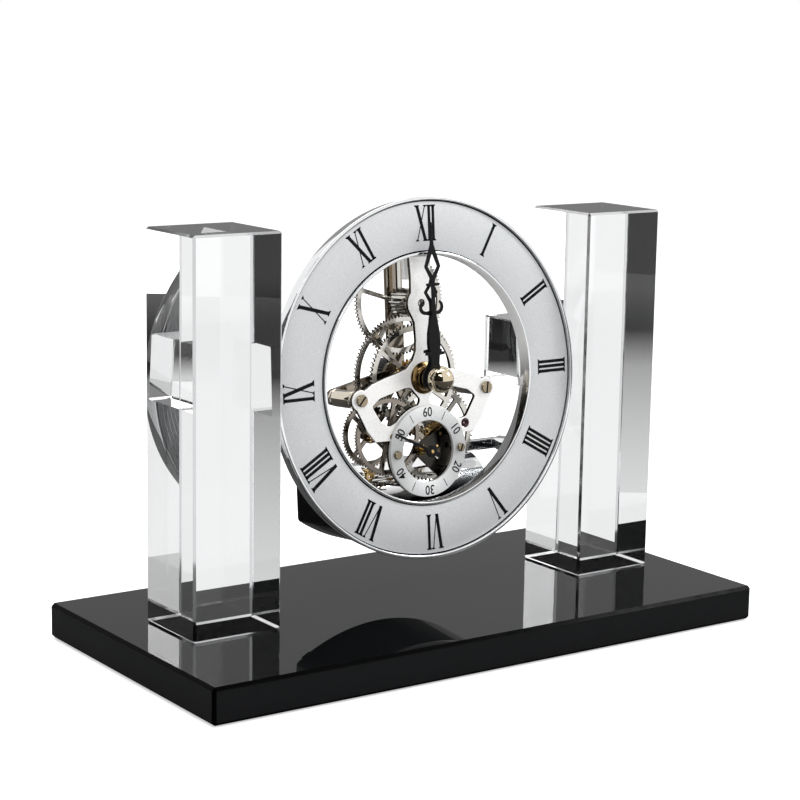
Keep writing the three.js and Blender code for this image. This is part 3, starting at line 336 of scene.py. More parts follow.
BLACK_CRYSTAL = polished("black_crystal", (0.005, 0.0055, 0.006), 0.0, 0.02, 25, {"IOR": 1.52})
# The slab's bevels are near black and barely reflect: painted shade for a dark line along each edge.
SLAB_EDGE = polished("slab_bevel", (0.001,) * 3, 0.1, 0.25, 200, {"Specular IOR Level": 0.02})
slab = ground_block(*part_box("base"), SLAB_BEVEL * MM)
slab = piece_from(slab, "slab", "frame", BLACK_CRYSTAL, ["base"])
second_finish(slab, SLAB_EDGE, is_bevel)

# Columns and side blocks: clear optical crystal, sawn, ground and polished to
# sharp bevels. Each block is bonded to its column with clear adhesive, so the
# two read as one piece of glass.
CRYSTAL_BEVEL = 0.7
BLOCK_BEVEL = 0.4
BLOCK_REACH = 2
GLUE = 0.02


def baked(piece):
    """A bmesh of an object as its curve or its modifiers shape it. The object goes."""
    mesh = bpy.data.meshes.new_from_object(piece.evaluated_get(bpy.context.evaluated_depsgraph_get()))
    bpy.data.objects.remove(piece)
    shape = bmesh.new()
    shape.from_mesh(mesh)
    bpy.data.meshes.remove(mesh)
    return shape


def join_solid(shape, other, operation="UNION"):
    """Exact boolean of two closed bmeshes."""
    first = placed("first", finish_mesh(shape, "first"))
    second = placed("second", finish_mesh(other, "second"))
    union = first.modifiers.new("union", "BOOLEAN")
    union.operation, union.solver, union.object = operation, "EXACT", second
    made = baked(first)
    bpy.data.objects.remove(second)
    return made


def side_block(node, inward):
    """The CAD block, stretched through the glue line into its column."""
    shape = bmesh.new()
    shape.from_mesh(frame["nodes"][node].data)
    bmesh.ops.remove_doubles(shape, verts=shape.verts, dist=1e-6)
    low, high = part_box(node)
    outer = low.x if inward > 0 else high.x
    for vert in shape.verts:
        if abs(vert.co.x - outer) < 1e-4:
            vert.co.x -= inward * BLOCK_REACH * MM
    flat = [e for e in shape.edges if len(e.link_faces) == 2 and e.calc_face_angle() < 0.01]
    bmesh.ops.dissolve_edges(shape, edges=flat, use_verts=True)
    bmesh.ops.bevel(shape, geom=shape.edges[:], offset=BLOCK_BEVEL * MM, segments=1, affect="EDGES")
    return shape


CLEAR = {"IOR": 1.5, "Transmission Weight": 1.0}
CRYSTAL = polished("clear_crystal", (0.825, 0.83, 0.835), 0.0, 0.004, 30, CLEAR)
# The bevel faces get a grey tint: painted shade that draws thin grey lines along the crystal's polished edges.
BEVEL_SHADE_GLASS = polished("bevel_painted_shade", (0.5, 0.51, 0.52), 0.1, 0.3, 200, CLEAR)
for side, inward in (("left", 1), ("right", -1)):
    foot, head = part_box(f"column_{side}")
    foot.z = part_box("base")[1].z - GLUE * MM
    column = ground_block(foot, head, CRYSTAL_BEVEL * MM)
    glass = join_solid(column, side_block(f"block_{side}", inward))
    replaced = [f"column_{side}", f"block_{side}"]
    crystal = piece_from(glass, f"crystal_{side}", "frame", CRYSTAL, replaced)
    second_finish(crystal, BEVEL_SHADE_GLASS, is_bevel)

# Adhesive: a film of black adhesive holds each column on the slab, just inside
# the column's bevelled foot.
FILM = 0.05

# The same black also fills the gaps round the dial, where it is painted shade.
FILM_AND_GAP_SHADE_BLACK = polished("adhesive_and_gap_shade", (0.002,) * 3, 0.8, 0.95, 200, {"Specular IOR Level": 0.0})
for side in ("left", "right"):
    foot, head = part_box(f"column_{side}")
    top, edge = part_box("base")[1].z, CRYSTAL_BEVEL * MM
    low, high = (foot.x + edge, foot.y + edge, top), (head.x - edge, head.y - edge, top + FILM * MM)
    film = ground_block(low, high, FILM / 4 * MM)
    piece_from(film, f"adhesive_{side}", "frame", FILM_AND_GAP_SHADE_BLACK, [])

# Case ring: one turned brass ring, chrome plated and polished, with a recess
# in front for the dial and one behind for a grooved cover. It leans back, and
# its rear face is bonded to the two crystal blocks.
RING_STEPS = 180
RIM_EDGE = 0.25
DIAL_GAP = 0.4
SEAT_GAP = 0.3
INNER_RIM = 0.9
OPENING = 38.1
BORE_EASE = 0.1
LIP = 0.2
RIM_TAPER = 0.6
JOINTS = {joint["child"]: joint for joint in frame["joints"] if joint["type"] == "hinge"}
ALONG_ARBORS = Vector(JOINTS["minute"]["axis"]).normalized()


def clock_frame():
    """Clock axes: x to the right, y back along the arbors, z up the leaning dial."""
    right = Vector((1, 0, 0))
    turn = Matrix((right, ALONG_ARBORS, right.cross(ALONG_ARBORS))).transposed().to_4x4()
    return Matrix.Translation(Vector(JOINTS["minute"]["pos_m"])) @ turn @ Matrix.Scale(MM, 4)


CLOCK = clock_frame()
TO_CLOCK = CLOCK.inverted()


def span(node):
    """Lowest and highest corner of a CAD node in the clock's axes, in millimetres."""
    points = [TO_CLOCK @ vert.co for vert in frame["nodes"][node].data.vertices]
    return [Vector([pick(p[i] for p in points) for i in range(3)]) for pick in (min, max)]


def depths(node):
    low, high = span(node)
    return low.y, high.y


def pivot(body):
    """Where a body's arbor crosses the dial plane: x and z in millimetres."""
    place = TO_CLOCK @ Vector(JOINTS[body]["pos_m"])
    return place.x, place.z


def turned(profile, segments, x=0.0, z=0.0):
    """Turns (radius, depth) points about a front-to-back axis; off the axis it closes on itself."""
    shape = bmesh.new()
    rings = []
    steps = [2 * pi * i / segments for i in range(segments)]
    for radius, depth in profile:
        around = [(x + radius * cos(a), depth, z + radius * sin(a)) for a in steps]
        rings.append([shape.verts.new(spot) for spot in (around if radius else around[:1])])
    pairs = list(zip(rings, rings[1:]))
    if len(rings[0]) > 1:
        pairs.append((rings[-1], rings[0]))
    for near, far in pairs:
        for i in range(segments):
            corners = [near[i % len(near)], near[(i + 1) % len(near)]]
            corners += [far[(i + 1) % len(far)], far[i % len(far)]]
            unique = list(dict.fromkeys(corners))
            if len(unique) > 2:
                shape.faces.new(unique)
    return shape


def softened(profile, radius, steps=3, closed=True):
    """Rounds the corners of a profile or an outline."""
    points = [Vector(p) for p in profile]
    made = []
    for i, corner in enumerate(points):
        before, after = points[i - 1] - corner, points[(i + 1) % len(points)] - corner
        end_point = not closed and i in (0, len(points) - 1)
        if end_point or before.angle(after) > radians(155):
            made.append(tuple(corner))
            continue
        reach = min(radius, before.length * 0.45, after.length * 0.45)
        start, end = corner + before.normalized() * reach, corner + after.normalized() * reach
        for t in [step / steps for step in range(steps + 1)]:
            made.append(tuple(start * (1 - t) ** 2 + corner * 2 * t * (1 - t) + end * t**2))
    return made


def fit(shape, name, material, angle=40, body="frame", replaced=None):
    """Puts a shape, made in the clock's millimetres, in its place as a finished piece.
    Unless told otherwise it takes the place of the CAD node of its own name."""
    bmesh.ops.transform(shape, matrix=CLOCK, verts=shape.verts)
    return piece_from(shape, name, body, material, [name] if replaced is None else replaced, angle)


def plated(name, tint, smooth, rubbed, scale=70):
    """Polished plating; its colour comes from what it mirrors."""
    return polished(name, tint, smooth, rubbed, scale, {"Metallic": 1.0})


def shade_by_slope(material, start, end, **sockets):
    """Paints light and shade by slope: the finish changes between walls that face down and walls that face up.
    """
    tree = material.node_tree
    normal = new_node(tree, "NewGeometry").outputs["Normal"]
    up = new_node(tree, "SeparateXYZ", {0: normal}).outputs["Z"]
    for socket, (under, over) in sockets.items():
        tone = spread(tree, up, start, end, under, over, smooth=True)
        feed(tree, tree.nodes["Principled BSDF"], {socket.replace("_", " "): tone})


def in_bore(polygon):
    spot = TO_CLOCK @ polygon.center
    return hypot(spot.x, spot.z) < OPENING + BORE_EASE


CHROME = plated("chrome_plate", (0.82, 0.83, 0.84), 0.02, 0.07)
# The bore's wall is painted pale and half diffuse where it faces down, and dark where it faces up: painted
# light and shade inside the opening.
BORE_PAINTED_CHROME = plated("bore_painted_light", (0.8, 0.8, 0.8), 0.03, 0.08)
shade_by_slope(BORE_PAINTED_CHROME, -0.25, 0.35, Metallic=(0.2, 1.0), Base_Color=(0.95, 0.16))
case_high = span("case_ring")[1]
dial_low, dial_high = span("dial_ring")
cover_low, cover_high = span("rear_cover_ring")
web_front, web_back = dial_high.y + SEAT_GAP, cover_low.y - SEAT_GAP
dial_outer, cover_outer, bore_wall = dial_high.x, cover_high.x, OPENING + INNER_RIM
case_profile = [(case_high.x, 0), (case_high.x - RIM_TAPER, case_high.y), (cover_outer + SEAT_GAP, case_high.y)]
case_profile += [(cover_outer + SEAT_GAP, web_back), (bore_wall, web_back), (bore_wall, case_high.y)]
case_profile += [(OPENING, case_high.y), (OPENING, LIP), (bore_wall, LIP), (bore_wall, web_front)]
case_profile += [(dial_outer + DIAL_GAP, web_front), (dial_outer + DIAL_GAP, 0)]
ring = turned(softened(case_profile, RIM_EDGE), RING_STEPS)
second_finish(fit(ring, "case", CHROME, replaced=["case_ring"]), BORE_PAINTED_CHROME, in_bore)

# Dial ring: a flat aluminium ring with a fine blasted satin silver finish,
# dropped into the front recess. The hours are printed on it in gloss black.
NUMERAL_FOOT = 42.2
NUMERAL_TALL = 11.0
STEM = 1.0
HAIRLINE = 0.34
SERIF = 0.36
SERIF_REACH = 0.46
STEM_PITCH = 1.5
SLANT_STEM = 1.15
BRACKET = 0.3
INK = 0.03
INK_GAP = 0.005
SHADE_CLEARANCE = 0.05
# Each letter's width, its strokes as (top, bottom, thickness), and its serifs as
# (place, at the head, thickness).
LETTERS = {
    "I": (0.0, [(0, 0, STEM)], [(0, True, STEM), (0, False, STEM)]),
    "V": (3.0, [(0, 1.5, SLANT_STEM), (3.0, 1.6, HAIRLINE)], [(0, True, STEM), (3.0, True, HAIRLINE)]),
    "X": (
        3.0,
        [(0, 3.0, SLANT_STEM), (3.0, 0, HAIRLINE)],
        [(0, True, STEM), (3.0, False, STEM), (3.0, True, HAIRLINE), (0, False, HAIRLINE)],
    ),
}
HOURS = ["XII", "I", "II", "III", "IIII", "V", "VI", "VII", "VIII", "IX", "X", "XI"]


def satin_group():
    """Fine blasted grain with faint cloudy shade, for silvered faces."""
    inputs = {"Scale": 2500.0, "Cloud": 40.0, "Low": 0.3, "High": 0.45, "Tint": (0.6, 0.61, 0.62, 1)}
    group, given, leave = new_group("satin_grain", inputs, ("Color", "Roughness", "Height"))
    place = surface_place(group)
    grain = {"Vector": place, "Scale": given["Scale"], "Detail": 3.0}
    grain = new_node(group, "TexNoise", grain).outputs["Fac"]
    cloud = new_node(group, "TexNoise", {"Vector": place, "Scale": given["Cloud"]}).outputs["Fac"]
    rough = spread(group, cloud, 0.3, 0.7, given["Low"], given["High"])
    shade = spread(group, grain, 0.25, 0.75, 0.88, 1.08)
    tinted = new_node(group, "VectorMath", {0: given["Tint"], "Scale": shade}, operation="SCALE")
    feed(group, leave, {"Color": tinted.outputs["Vector"], "Roughness": rough, "Height": grain})
    return group


SATIN = satin_group()


def satin(name, tint, scale, low, high, depth, metallic=0.0):
    """A finely grained material: blasted, silvered or moulded."""
    material, tree, shader = new_material(name, tint, {"Metallic": metallic})
    values = {"Scale": scale, "Low": low, "High": high, "Tint": (*tint, 1)}
    grain = new_node(tree, "Group", values, node_tree=SATIN).outputs
    feed(tree, shader, {"Base Color": grain["Color"], "Roughness": grain["Roughness"]})
    add_relief(tree, shader, grain["Height"], depth, 0.4)
    return material


def satin_silver(name, tint):
    return satin(name, tint, 2600, 0.45, 0.55, 0.01, metallic=0.3)


def stroke(top, bottom, wide):
    """A slanting stroke from the numeral's head to its foot."""
    half = wide / 2
    return [(top - half, NUMERAL_TALL), (top + half, NUMERAL_TALL), (bottom + half, 0.0), (bottom - half, 0.0)]


def serif(x, at_top, wide):
    """A bracketed slab across the end of a stroke."""
    half, thin = wide / 2 + SERIF_REACH, wide / 2
    z, inward = (NUMERAL_TALL, -1) if at_top else (0.0, 1)
    edge, neck = z + inward * SERIF / 2, z + inward * (SERIF + BRACKET)
    left = [(x - half, z), (x - half, edge), (x - thin, neck)]
    return left + [(x + thin, neck), (x + half, edge), (x + half, z)]


def flat_solid(outlines, front, back):
    """Closed plates between two depths, one for each outline."""
    shape = bmesh.new()
    for outline in outlines:
        near, far = [[shape.verts.new((x, depth, z)) for x, z in outline] for depth in (front, back)]
        shape.faces.new(near)
        shape.faces.new(far[::-1])
        for i in range(len(outline)):
            shape.faces.new((near[i - 1], near[i], far[i], far[i - 1]))
    return shape


def spun(points, turn, x=0.0, z=0.0):
    """Points turned by an angle about the middle, and then moved."""
    c, s = cos(turn), sin(turn)
    return [(x + px * c - pz * s, z + px * s + pz * c) for px, pz in points]


def numeral(text, hour):
    """One hour's outlines, its foot towards the dial's middle."""
    outlines, x = [], 0.0
    for letter in text:
        wide, strokes, serifs = LETTERS[letter]
        outlines += [stroke(x + top, x + bottom, thick) for top, bottom, thick in strokes]
        outlines += [serif(x + end, at_top, thick) for end, at_top, thick in serifs]
        x += wide + STEM_PITCH
    middle = (x - STEM_PITCH) / 2
    risen = [[(px - middle, pz + NUMERAL_FOOT) for px, pz in outline] for outline in outlines]
    return [spun(outline, -hour * pi / 6) for outline in risen]


def washer(inner, outer, front, back):
    """Profile of a flat ring."""
    return [(outer, front), (outer, back), (inner, back), (inner, front)]


SILVER = satin_silver("satin_silver", (0.655, 0.668, 0.678))
INK_BLACK = polished("gloss_ink", (0.004, 0.004, 0.005), 0.22, 0.4, 400, {"Specular IOR Level": 0.12})
dial_profile = washer(bore_wall + DIAL_GAP, dial_outer, dial_low.y, dial_high.y)
fit(turned(softened(dial_profile, 0.08, 2), RING_STEPS), "dial", SILVER, replaced=["dial_ring"])
# A matt black ring under the dial, showing in the gaps round it: painted shade that makes the gap lines read
# dark.
gap_shade_inner, gap_shade_outer = bore_wall + SHADE_CLEARANCE, dial_outer + DIAL_GAP - SHADE_CLEARANCE
gap_shade = turned(washer(gap_shade_inner, gap_shade_outer, dial_high.y + SHADE_CLEARANCE, web_front - SHADE_CLEARANCE), RING_STEPS)
fit(gap_shade, "dial_gap_shade", FILM_AND_GAP_SHADE_BLACK, replaced=[])
printed = [outline for hour, text in enumerate(HOURS) for outline in numeral(text, hour)]
hours = flat_solid(printed, dial_low.y - INK_GAP - INK, dial_low.y - INK_GAP)
fit(hours, "hour_numerals", INK_BLACK, replaced=[])

# Rear cover: a turned ring with concentric grooves, chrome plated, pressed
# into the rear recess. It is what shows through the left column.
GROOVES = 11
GROOVE_DEPTH = 0.55
COVER_LAND = 0.6

cover_inner = bore_wall + DIAL_GAP
pitch = (cover_outer - cover_inner - 2 * COVER_LAND) / GROOVES
groove_floor = cover_high.y - GROOVE_DEPTH
cover_profile = [(cover_inner, cover_low.y), (cover_outer, cover_low.y), (cover_outer, cover_high.y)]
for groove in range(GROOVES):
    crest = cover_outer - COVER_LAND - groove * pitch
    cover_profile += [(crest, cover_high.y), (crest - 0.35 * pitch, groove_floor)]
    cover_profile += [(crest - 0.6 * pitch, groove_floor)]
cover_profile += [(cover_inner + COVER_LAND, cover_high.y), (cover_inner, cover_high.y)]
COVER_CHROME = plated("grooved_chrome", (0.24, 0.25, 0.26), 0.2, 0.28)
fit(turned(cover_profile, RING_STEPS), "rear_cover", COVER_CHROME, 20, replaced=["rear_cover_ring"])

# Front plate: stamped from nickel-plated brass, its edges eased. An arm hangs
# from the case, two ears take the pillars, and a ring carries the seconds dial.
PLATE_EDGE = 0.12
PLATE_SHARP = 12
WALL_SLOPE = 0.35
EAR = (23.6, -5.0)
EAR_RADIUS = 3.2
TOP_EYE = 5.0
SECONDS_RADIUS = 14.0
SECONDS_OPENING = 9.9
JEWEL_PLACE = (15.3, -15.5)
JEWEL_RADIUS = 1.2
SCREW_HOLE = 1.3
PIVOT_HOLE = 0.9
RING_SCREW = 12.0


def edged_plate(outlines, front, back, edge=PLATE_EDGE):
    """A plate between two depths: the first outline is its rim, the others its openings."""
    curve = bpy.data.curves.new("blank", "CURVE")
    curve.dimensions, curve.fill_mode = "2D", "BOTH"
    curve.extrude, curve.bevel_depth = (back - front) / 2 - edge, edge
    curve.bevel_resolution, curve.offset = 1, -edge
    for points in outlines:
        spline = curve.splines.new("POLY")
        spline.points.add(len(points) - 1)
        for spot, (x, z) in zip(spline.points, points):
            spot.co = (x, z, 0, 1)
        spline.use_cyclic_u = True
    shape = baked(placed("blank", curve))
    bmesh.ops.remove_doubles(shape, verts=shape.verts, dist=1e-4)
    for vert in shape.verts:
        x, z, depth = vert.co
        vert.co = (x, (front + back) / 2 - depth, z)
    return shape


def sweep(x, z, radius, start, end, steps):
    """Points on an arc; angles in degrees, from the right, anticlockwise."""
    angles = [radians(start + (end - start) * i / steps) for i in range(steps + 1)]
    return [(x + radius * cos(a), z + radius * sin(a)) for a in angles]


def circle(x, z, radius, steps=36):
    return sweep(x, z, radius, 0, 360 * (1 - 1 / steps), steps - 1)


def mirrored(points):
    return points + [(-x, z) for x, z in reversed(points)]


def punched(shape, name, material, body="frame"):
    """Fits a plate or a wheel; its punched walls get a near-black plating, painted shade that outlines its
    faces.
    """
    piece = fit(shape, name, material, PLATE_SHARP, body)
    second_finish(piece, WALL_SHADE_PLATING, lambda polygon: abs(polygon.normal.dot(ALONG_ARBORS)) < WALL_SLOPE)


SATIN_NICKEL = satin("satin_nickel", (1.0, 0.995, 0.98), 2200, 0.26, 0.34, 0.004, 0.3)
# Its dark warm tint is painted shade for the back plate, deep in the movement.
NICKEL = polished("nickel_plate", (0.3, 0.265, 0.22), 0.05, 0.14, 110, {"Metallic": 1.0}, depth=0.004)
# Near-black plating for punched walls: painted shade along the edges of plates and wheels.
WALL_SHADE_PLATING = plated("painted_wall_shade", (0.07, 0.055, 0.04), 0.15, 0.3, 300)
CROSS, TOP, SECONDS, MOTION = [pivot(body) for body in ("cross", "top", "seconds", "motion")]
plate_front, plate_back = depths("front_plate")
right_edge = [(4.0, 37.5), (3.6, 31.5), *sweep(0, TOP[1], TOP_EYE, 42, -36, 8)]
right_edge += [(2.7, 17.4), (2.4, 12.0), (2.6, 8.6), (3.9, 5.6), (6.4, 3.2), (10.0, 2.1), (14.5, 1.0)]
right_edge += [(19.2, -0.4), *sweep(*EAR, EAR_RADIUS, 118, -62, 12)]
right_edge += [(23.4, -11.0), (21.6, -14.6), (18.6, -18.2)]
right_edge += sweep(0, SECONDS[1], SECONDS_RADIUS, 18, -90, 20)
left_window = [(-19.6, -7.2), (-15.7, -13.5), (-12.9, -13.9)]
left_window += sweep(0, SECONDS[1], SECONDS_RADIUS + 0.6, 138, 99, 8)
left_window += [(-1.5, -6.6), (-5.0, -2.6), (-7.2, -2.6), (-16.6, -5.0)]
openings = [softened([(side * x, z) for x, z in left_window], 0.9) for side in (1, -1)]
openings += [circle(0, SECONDS[1], SECONDS_OPENING, 64), circle(0, 0, 3.9), circle(*TOP, SCREW_HOLE)]
openings += [circle(side * EAR[0], EAR[1], SCREW_HOLE, 20) for side in (-1, 1)]
openings += [circle(side * RING_SCREW, SECONDS[1], PIVOT_HOLE, 16) for side in (-1, 1)]
openings += [circle(*CROSS, PIVOT_HOLE, 16), circle(*JEWEL_PLACE, JEWEL_RADIUS + 0.3, 24)]
punched(edged_plate([mirrored(right_edge), *openings], plate_front, plate_back), "front_plate", SATIN_NICKEL)

# Jewel: a small ruby bearing, pressed into the front plate. It is dished round
# its hole, so that it holds a drop of oil.
RUBY = polished("ruby", (0.035, 0.008, 0.012), 0.04, 0.12, 900)
jewel_front, jewel_back = depths("jewel")
jewel_profile = [(JEWEL_RADIUS, jewel_front + 0.1), (JEWEL_RADIUS, jewel_back), (0.4, jewel_back)]
jewel_profile += [(0.4, jewel_front + 0.45), (0.75, jewel_front + 0.25), (0.95, jewel_front)]
fit(turned(softened(jewel_profile, 0.05, 2), 36, *JEWEL_PLACE), "jewel", RUBY)

# Back plate: bars from the middle out to each pillar and pivot, in the same
# plated brass. The pivots run in plain holes.
CLAMP_FOOT = (18.5, -25.8)
PILLAR_ARM = 3.0
EAR_ARM = 2.6
EYE = 2.2
HUB = 5.0
LEFT_EAR = (-EAR[0], EAR[1])
TOP_PILLAR = (0.0, (span("pillar_top")[0].z + span("pillar_top")[1].z) / 2)
MIDDLE = (0, 0)


def bar(start, end, half, steps=12):
    """Outline of a bar with round ends."""
    heading = degrees(atan2(end[1] - start[1], end[0] - start[0]))
    near = sweep(*start, half, heading + 90, heading + 270, steps)
    return near + sweep(*end, half, heading - 90, heading + 90, steps)


def rod(radius, front, back, x=0.0, z=0.0, steps=32, edge=0.08):
    """A round bar with its ends chamfered."""
    profile = [(0, front), (radius - edge, front), (radius, front + edge)]
    profile += [(radius, back - edge), (radius - edge, back), (0, back)]
    return turned(profile, steps, x, z)


def joined(shapes):
    whole = shapes[0]
    for other in shapes[1:]:
        whole = join_solid(whole, other)
    return whole


def drilled(shape, holes, front, back):
    """Cuts holes, each given as (x, z, radius), right through between two depths."""
    for x, z, radius in holes:
        shape = join_solid(shape, rod(radius, front - 1, back + 1, x, z, edge=0.01), "DIFFERENCE")
    return shape


back_front, back_back = depths("back_plate")
bars = [bar(MIDDLE, TOP_PILLAR, PILLAR_ARM), bar(LEFT_EAR, MIDDLE, EAR_ARM), bar(EAR, MIDDLE, EAR_ARM)]
bars += [bar(MIDDLE, CROSS, EYE), bar(MIDDLE, MOTION, EYE), bar(MOTION, CLAMP_FOOT, EYE), circle(*MIDDLE, HUB)]
back_plate = joined([edged_plate([points], back_front, back_back) for points in bars])
holes = [(*MIDDLE, SCREW_HOLE), (*TOP, SCREW_HOLE), (*CROSS, PIVOT_HOLE), (*MOTION, PIVOT_HOLE)]
holes += [(*place, SCREW_HOLE) for place in (CLAMP_FOOT, TOP_PILLAR, LEFT_EAR, EAR)]
punched(drilled(back_plate, holes, back_front, back_back), "back_plate", NICKEL)

# Pillars: turned from bar with a shallow groove near each end, chromed, and
# screwed to the plates front and rear.
PILLAR = 2.75
PILLAR_GROOVE = 0.25
GROOVE_PLACE = 1.1
SPIGOT = 1.2
PILLAR_NICKEL = plated("pillar_nickel", (0.66, 0.6, 0.5), 0.03, 0.08)

for side, place in (("left", LEFT_EAR), ("right", EAR)):
    front, back = depths(f"pillar_{side}")
    profile = [(SCREW_HOLE, front), (PILLAR, front)]
    for middle in (front + GROOVE_PLACE, back - GROOVE_PLACE):
        profile += [(PILLAR, middle - PILLAR_GROOVE), (PILLAR - PILLAR_GROOVE, middle)]
        profile.append((PILLAR, middle + PILLAR_GROOVE))
    profile += [(PILLAR, back), (SCREW_HOLE, back)]
    fit(turned(softened(profile, 0.1, 2), 56, *place), f"pillar_{side}", PILLAR_NICKEL)
front, back = depths("pillar_top")
shoulder = depths("hanger_lug")[1] + SEAT_GAP
profile = [(0, front), (SPIGOT, front), (SPIGOT, shoulder), (PILLAR, shoulder), (PILLAR, back), (0, back)]
top_pillar = turned(softened(profile, 0.1, 2, closed=False), 56, *TOP_PILLAR)
fit(top_pillar, "pillar_top", PILLAR_NICKEL)

# Screws: cheese-head machine screws with a milled slot, nickel plated. Two show
# at the ears, the rest hold the pillars, the lug and the clamp from behind.
SLOT_WIDTH = 0.6
SLOT_DEPTH = 0.5
HEAD_HEIGHT = 0.8
THREAD_PITCH = 0.4
THREAD_DEPTH = 0.12
LARGE, MIDDLING, SMALL = (1.9, 1.0), (1.6, 1.0), (1.3, 0.6)
SCREW_NICKEL = plated("screw_nickel", (0.34, 0.285, 0.2), 0.1, 0.22, 300)
# Near-black finish for the faces inside each screw slot: painted shade.
SLOT_SHADE = polished("slot_painted_shade", (0.012, 0.011, 0.01), 0.55, 0.8, 900)


def add_screw(node, head, shank, turn, from_behind):
    """A screw in its node's place. Its slot, at an angle from level, is painted dark: painted shade in the
    slot.
    """
    low, high = span(node)
    x, z = (low.x + high.x) / 2, (low.z + high.z) / 2
    face, tip, inward = (high.y, low.y, -1) if from_behind else (low.y, high.y, 1)
    under = face + inward * HEAD_HEIGHT
    profile = [(0, face), (head - 0.18, face), (head, face + inward * 0.16), (head, under), (shank, under)]
    turns = max(2, int(abs(tip - under) / THREAD_PITCH) - 1)
    step = (tip - under) / (turns + 1)
    for i in range(turns):
        start = under + (i + 0.5) * step
        profile += [(shank, start), (shank - THREAD_DEPTH, start + step / 2)]
    profile += [(shank, tip - inward * 0.15), (shank - 0.15, tip), (0, tip)]
    angle = radians(turn)
    slot = bmesh.new()
    bmesh.ops.create_cube(slot, size=1)
    for vert in slot.verts:
        along, depth, across = vert.co.x * 4 * head, vert.co.y * 2 * SLOT_DEPTH, vert.co.z * SLOT_WIDTH
        spot = spun([(along, across)], angle, x, z)[0]
        vert.co = (spot[0], face + depth, spot[1])

    def in_slot(polygon):
        spot = TO_CLOCK @ polygon.center
        across = spun([(spot.x - x, spot.z - z)], -angle)[0][1]
        return 0.02 < abs(spot.y - face) < SLOT_DEPTH + 0.02 and abs(across) < SLOT_WIDTH / 2 + 0.01

    screw = join_solid(turned(profile, 28, x, z), slot, "DIFFERENCE")
    second_finish(fit(screw, node, SCREW_NICKEL, 35), SLOT_SHADE, in_slot)


add_screw("ear_screw_left", *LARGE, 48, False)
add_screw("ear_screw_right", *LARGE, 82, False)
add_screw("rear_screw_left", *LARGE, 15, True)
add_screw("rear_screw_right", *LARGE, 110, True)
add_screw("rear_screw_top", *LARGE, 60, True)
add_screw("hanger_screw_left", *MIDDLING, 100, True)
add_screw("hanger_screw_right", *MIDDLING, 35, True)
add_screw("arm_screw", *SMALL, 20, True)
add_screw("seconds_ring_screw_left", *SMALL, 115, False)
add_screw("seconds_ring_screw_right", *SMALL, 65, False)

# Hanger lug: a stepped bracket, milled from nickel-plated brass, that hangs
# the front plate's arm from the rear of the case ring.
LUG_NECK = 5.0
LUG_SCREW = 7
ARM_SCREW_UP = 34.0

lug_low, lug_high = span("hanger_lug")
neck = softened(mirrored([(LUG_NECK, lug_low.z), (LUG_NECK, 41.0)]), 0.5)
wide = softened(mirrored([(lug_high.x, OPENING + 1.0), (lug_high.x, lug_high.z)]), 1.2)
neck = edged_plate([neck], plate_back + SEAT_GAP, lug_high.y)
lug = join_solid(neck, edged_plate([wide], lug_low.y, lug_high.y))
holes = [(*TOP_PILLAR, SPIGOT + SEAT_GAP), (-LUG_SCREW, TOP_PILLAR[1], SCREW_HOLE)]
holes += [(LUG_SCREW, TOP_PILLAR[1], SCREW_HOLE), (0, ARM_SCREW_UP, PIVOT_HOLE)]
lug = drilled(lug, holes, lug_low.y, lug_high.y)
fit(lug, "hanger_lug", SATIN_NICKEL, PLATE_SHARP)

# Seconds dial: a satin silver ring held by two small screws, printed with tens
# of seconds and four strokes between them.
RING_INNER, RING_OUTER = 9.6, 14.2
TEXT_SIZE = 4.118
TEXT_NARROW = 0.86
TEXT_BOLD = 0.045
TEXT_MIDDLE = 12.0
TICK_INNER, TICK_OUTER = 10.6, 13.5
TICK_HALF = 0.11


def number_shape(text, heading, depth):
    """Printed digits, upright on the ring at a heading clockwise from the top."""
    curve = bpy.data.curves.new("digits", "FONT")
    curve.body, curve.size, curve.resolution_u = text, TEXT_SIZE, 4
    curve.align_x, curve.align_y = "CENTER", "CENTER"
    curve.extrude, curve.offset = INK / 2, TEXT_BOLD
    shape = baked(placed("digits", curve))
    for vert in shape.verts:
        flat = (vert.co.x * TEXT_NARROW, vert.co.y + TEXT_MIDDLE)
        x, z = spun([flat], radians(-heading), *SECONDS)[0]
        vert.co = (x, depth - INK / 2 + vert.co.z, z)
    return shape


def swept_silver(centre):
    """Silvering over a turned face, with two darker sweeps painted into its colour: a painted reflection of its
    fine rings.
    """
    material = satin_silver("bright_silver", (0.86, 0.87, 0.875))
    tree = material.node_tree
    shader = tree.nodes["Principled BSDF"]
    shift = new_node(tree, "VectorMath", {0: surface_place(tree), 1: centre}, operation="SUBTRACT")
    parts = new_node(tree, "SeparateXYZ", {0: shift.outputs[0]}).outputs
    # Two darker lobes by angle round the centre, multiplied into the colour: painted reflection.
    twice = reckon(tree, "MULTIPLY", reckon(tree, "ARCTAN2", parts["Z"], parts["X"]), 2.0)
    shade = reckon(tree, "ADD", reckon(tree, "MULTIPLY", reckon(tree, "COSINE", twice), -0.17), 0.83)
    tones = {"Factor": 1.0, 6: shader.inputs["Base Color"].links[0].from_socket, 7: shade}
    painted_sweeps = new_node(tree, "Mix", tones, data_type="RGBA", blend_type="MULTIPLY")
    feed(tree, shader, {"Base Color": painted_sweeps.outputs[2]})
    return material


def merged(whole, other):
    """Two bmeshes as one."""
    carrier = bpy.data.meshes.new("carrier")
    other.to_mesh(carrier)
    other.free()
    whole.from_mesh(carrier)
    bpy.data.meshes.remove(carrier)
    return whole


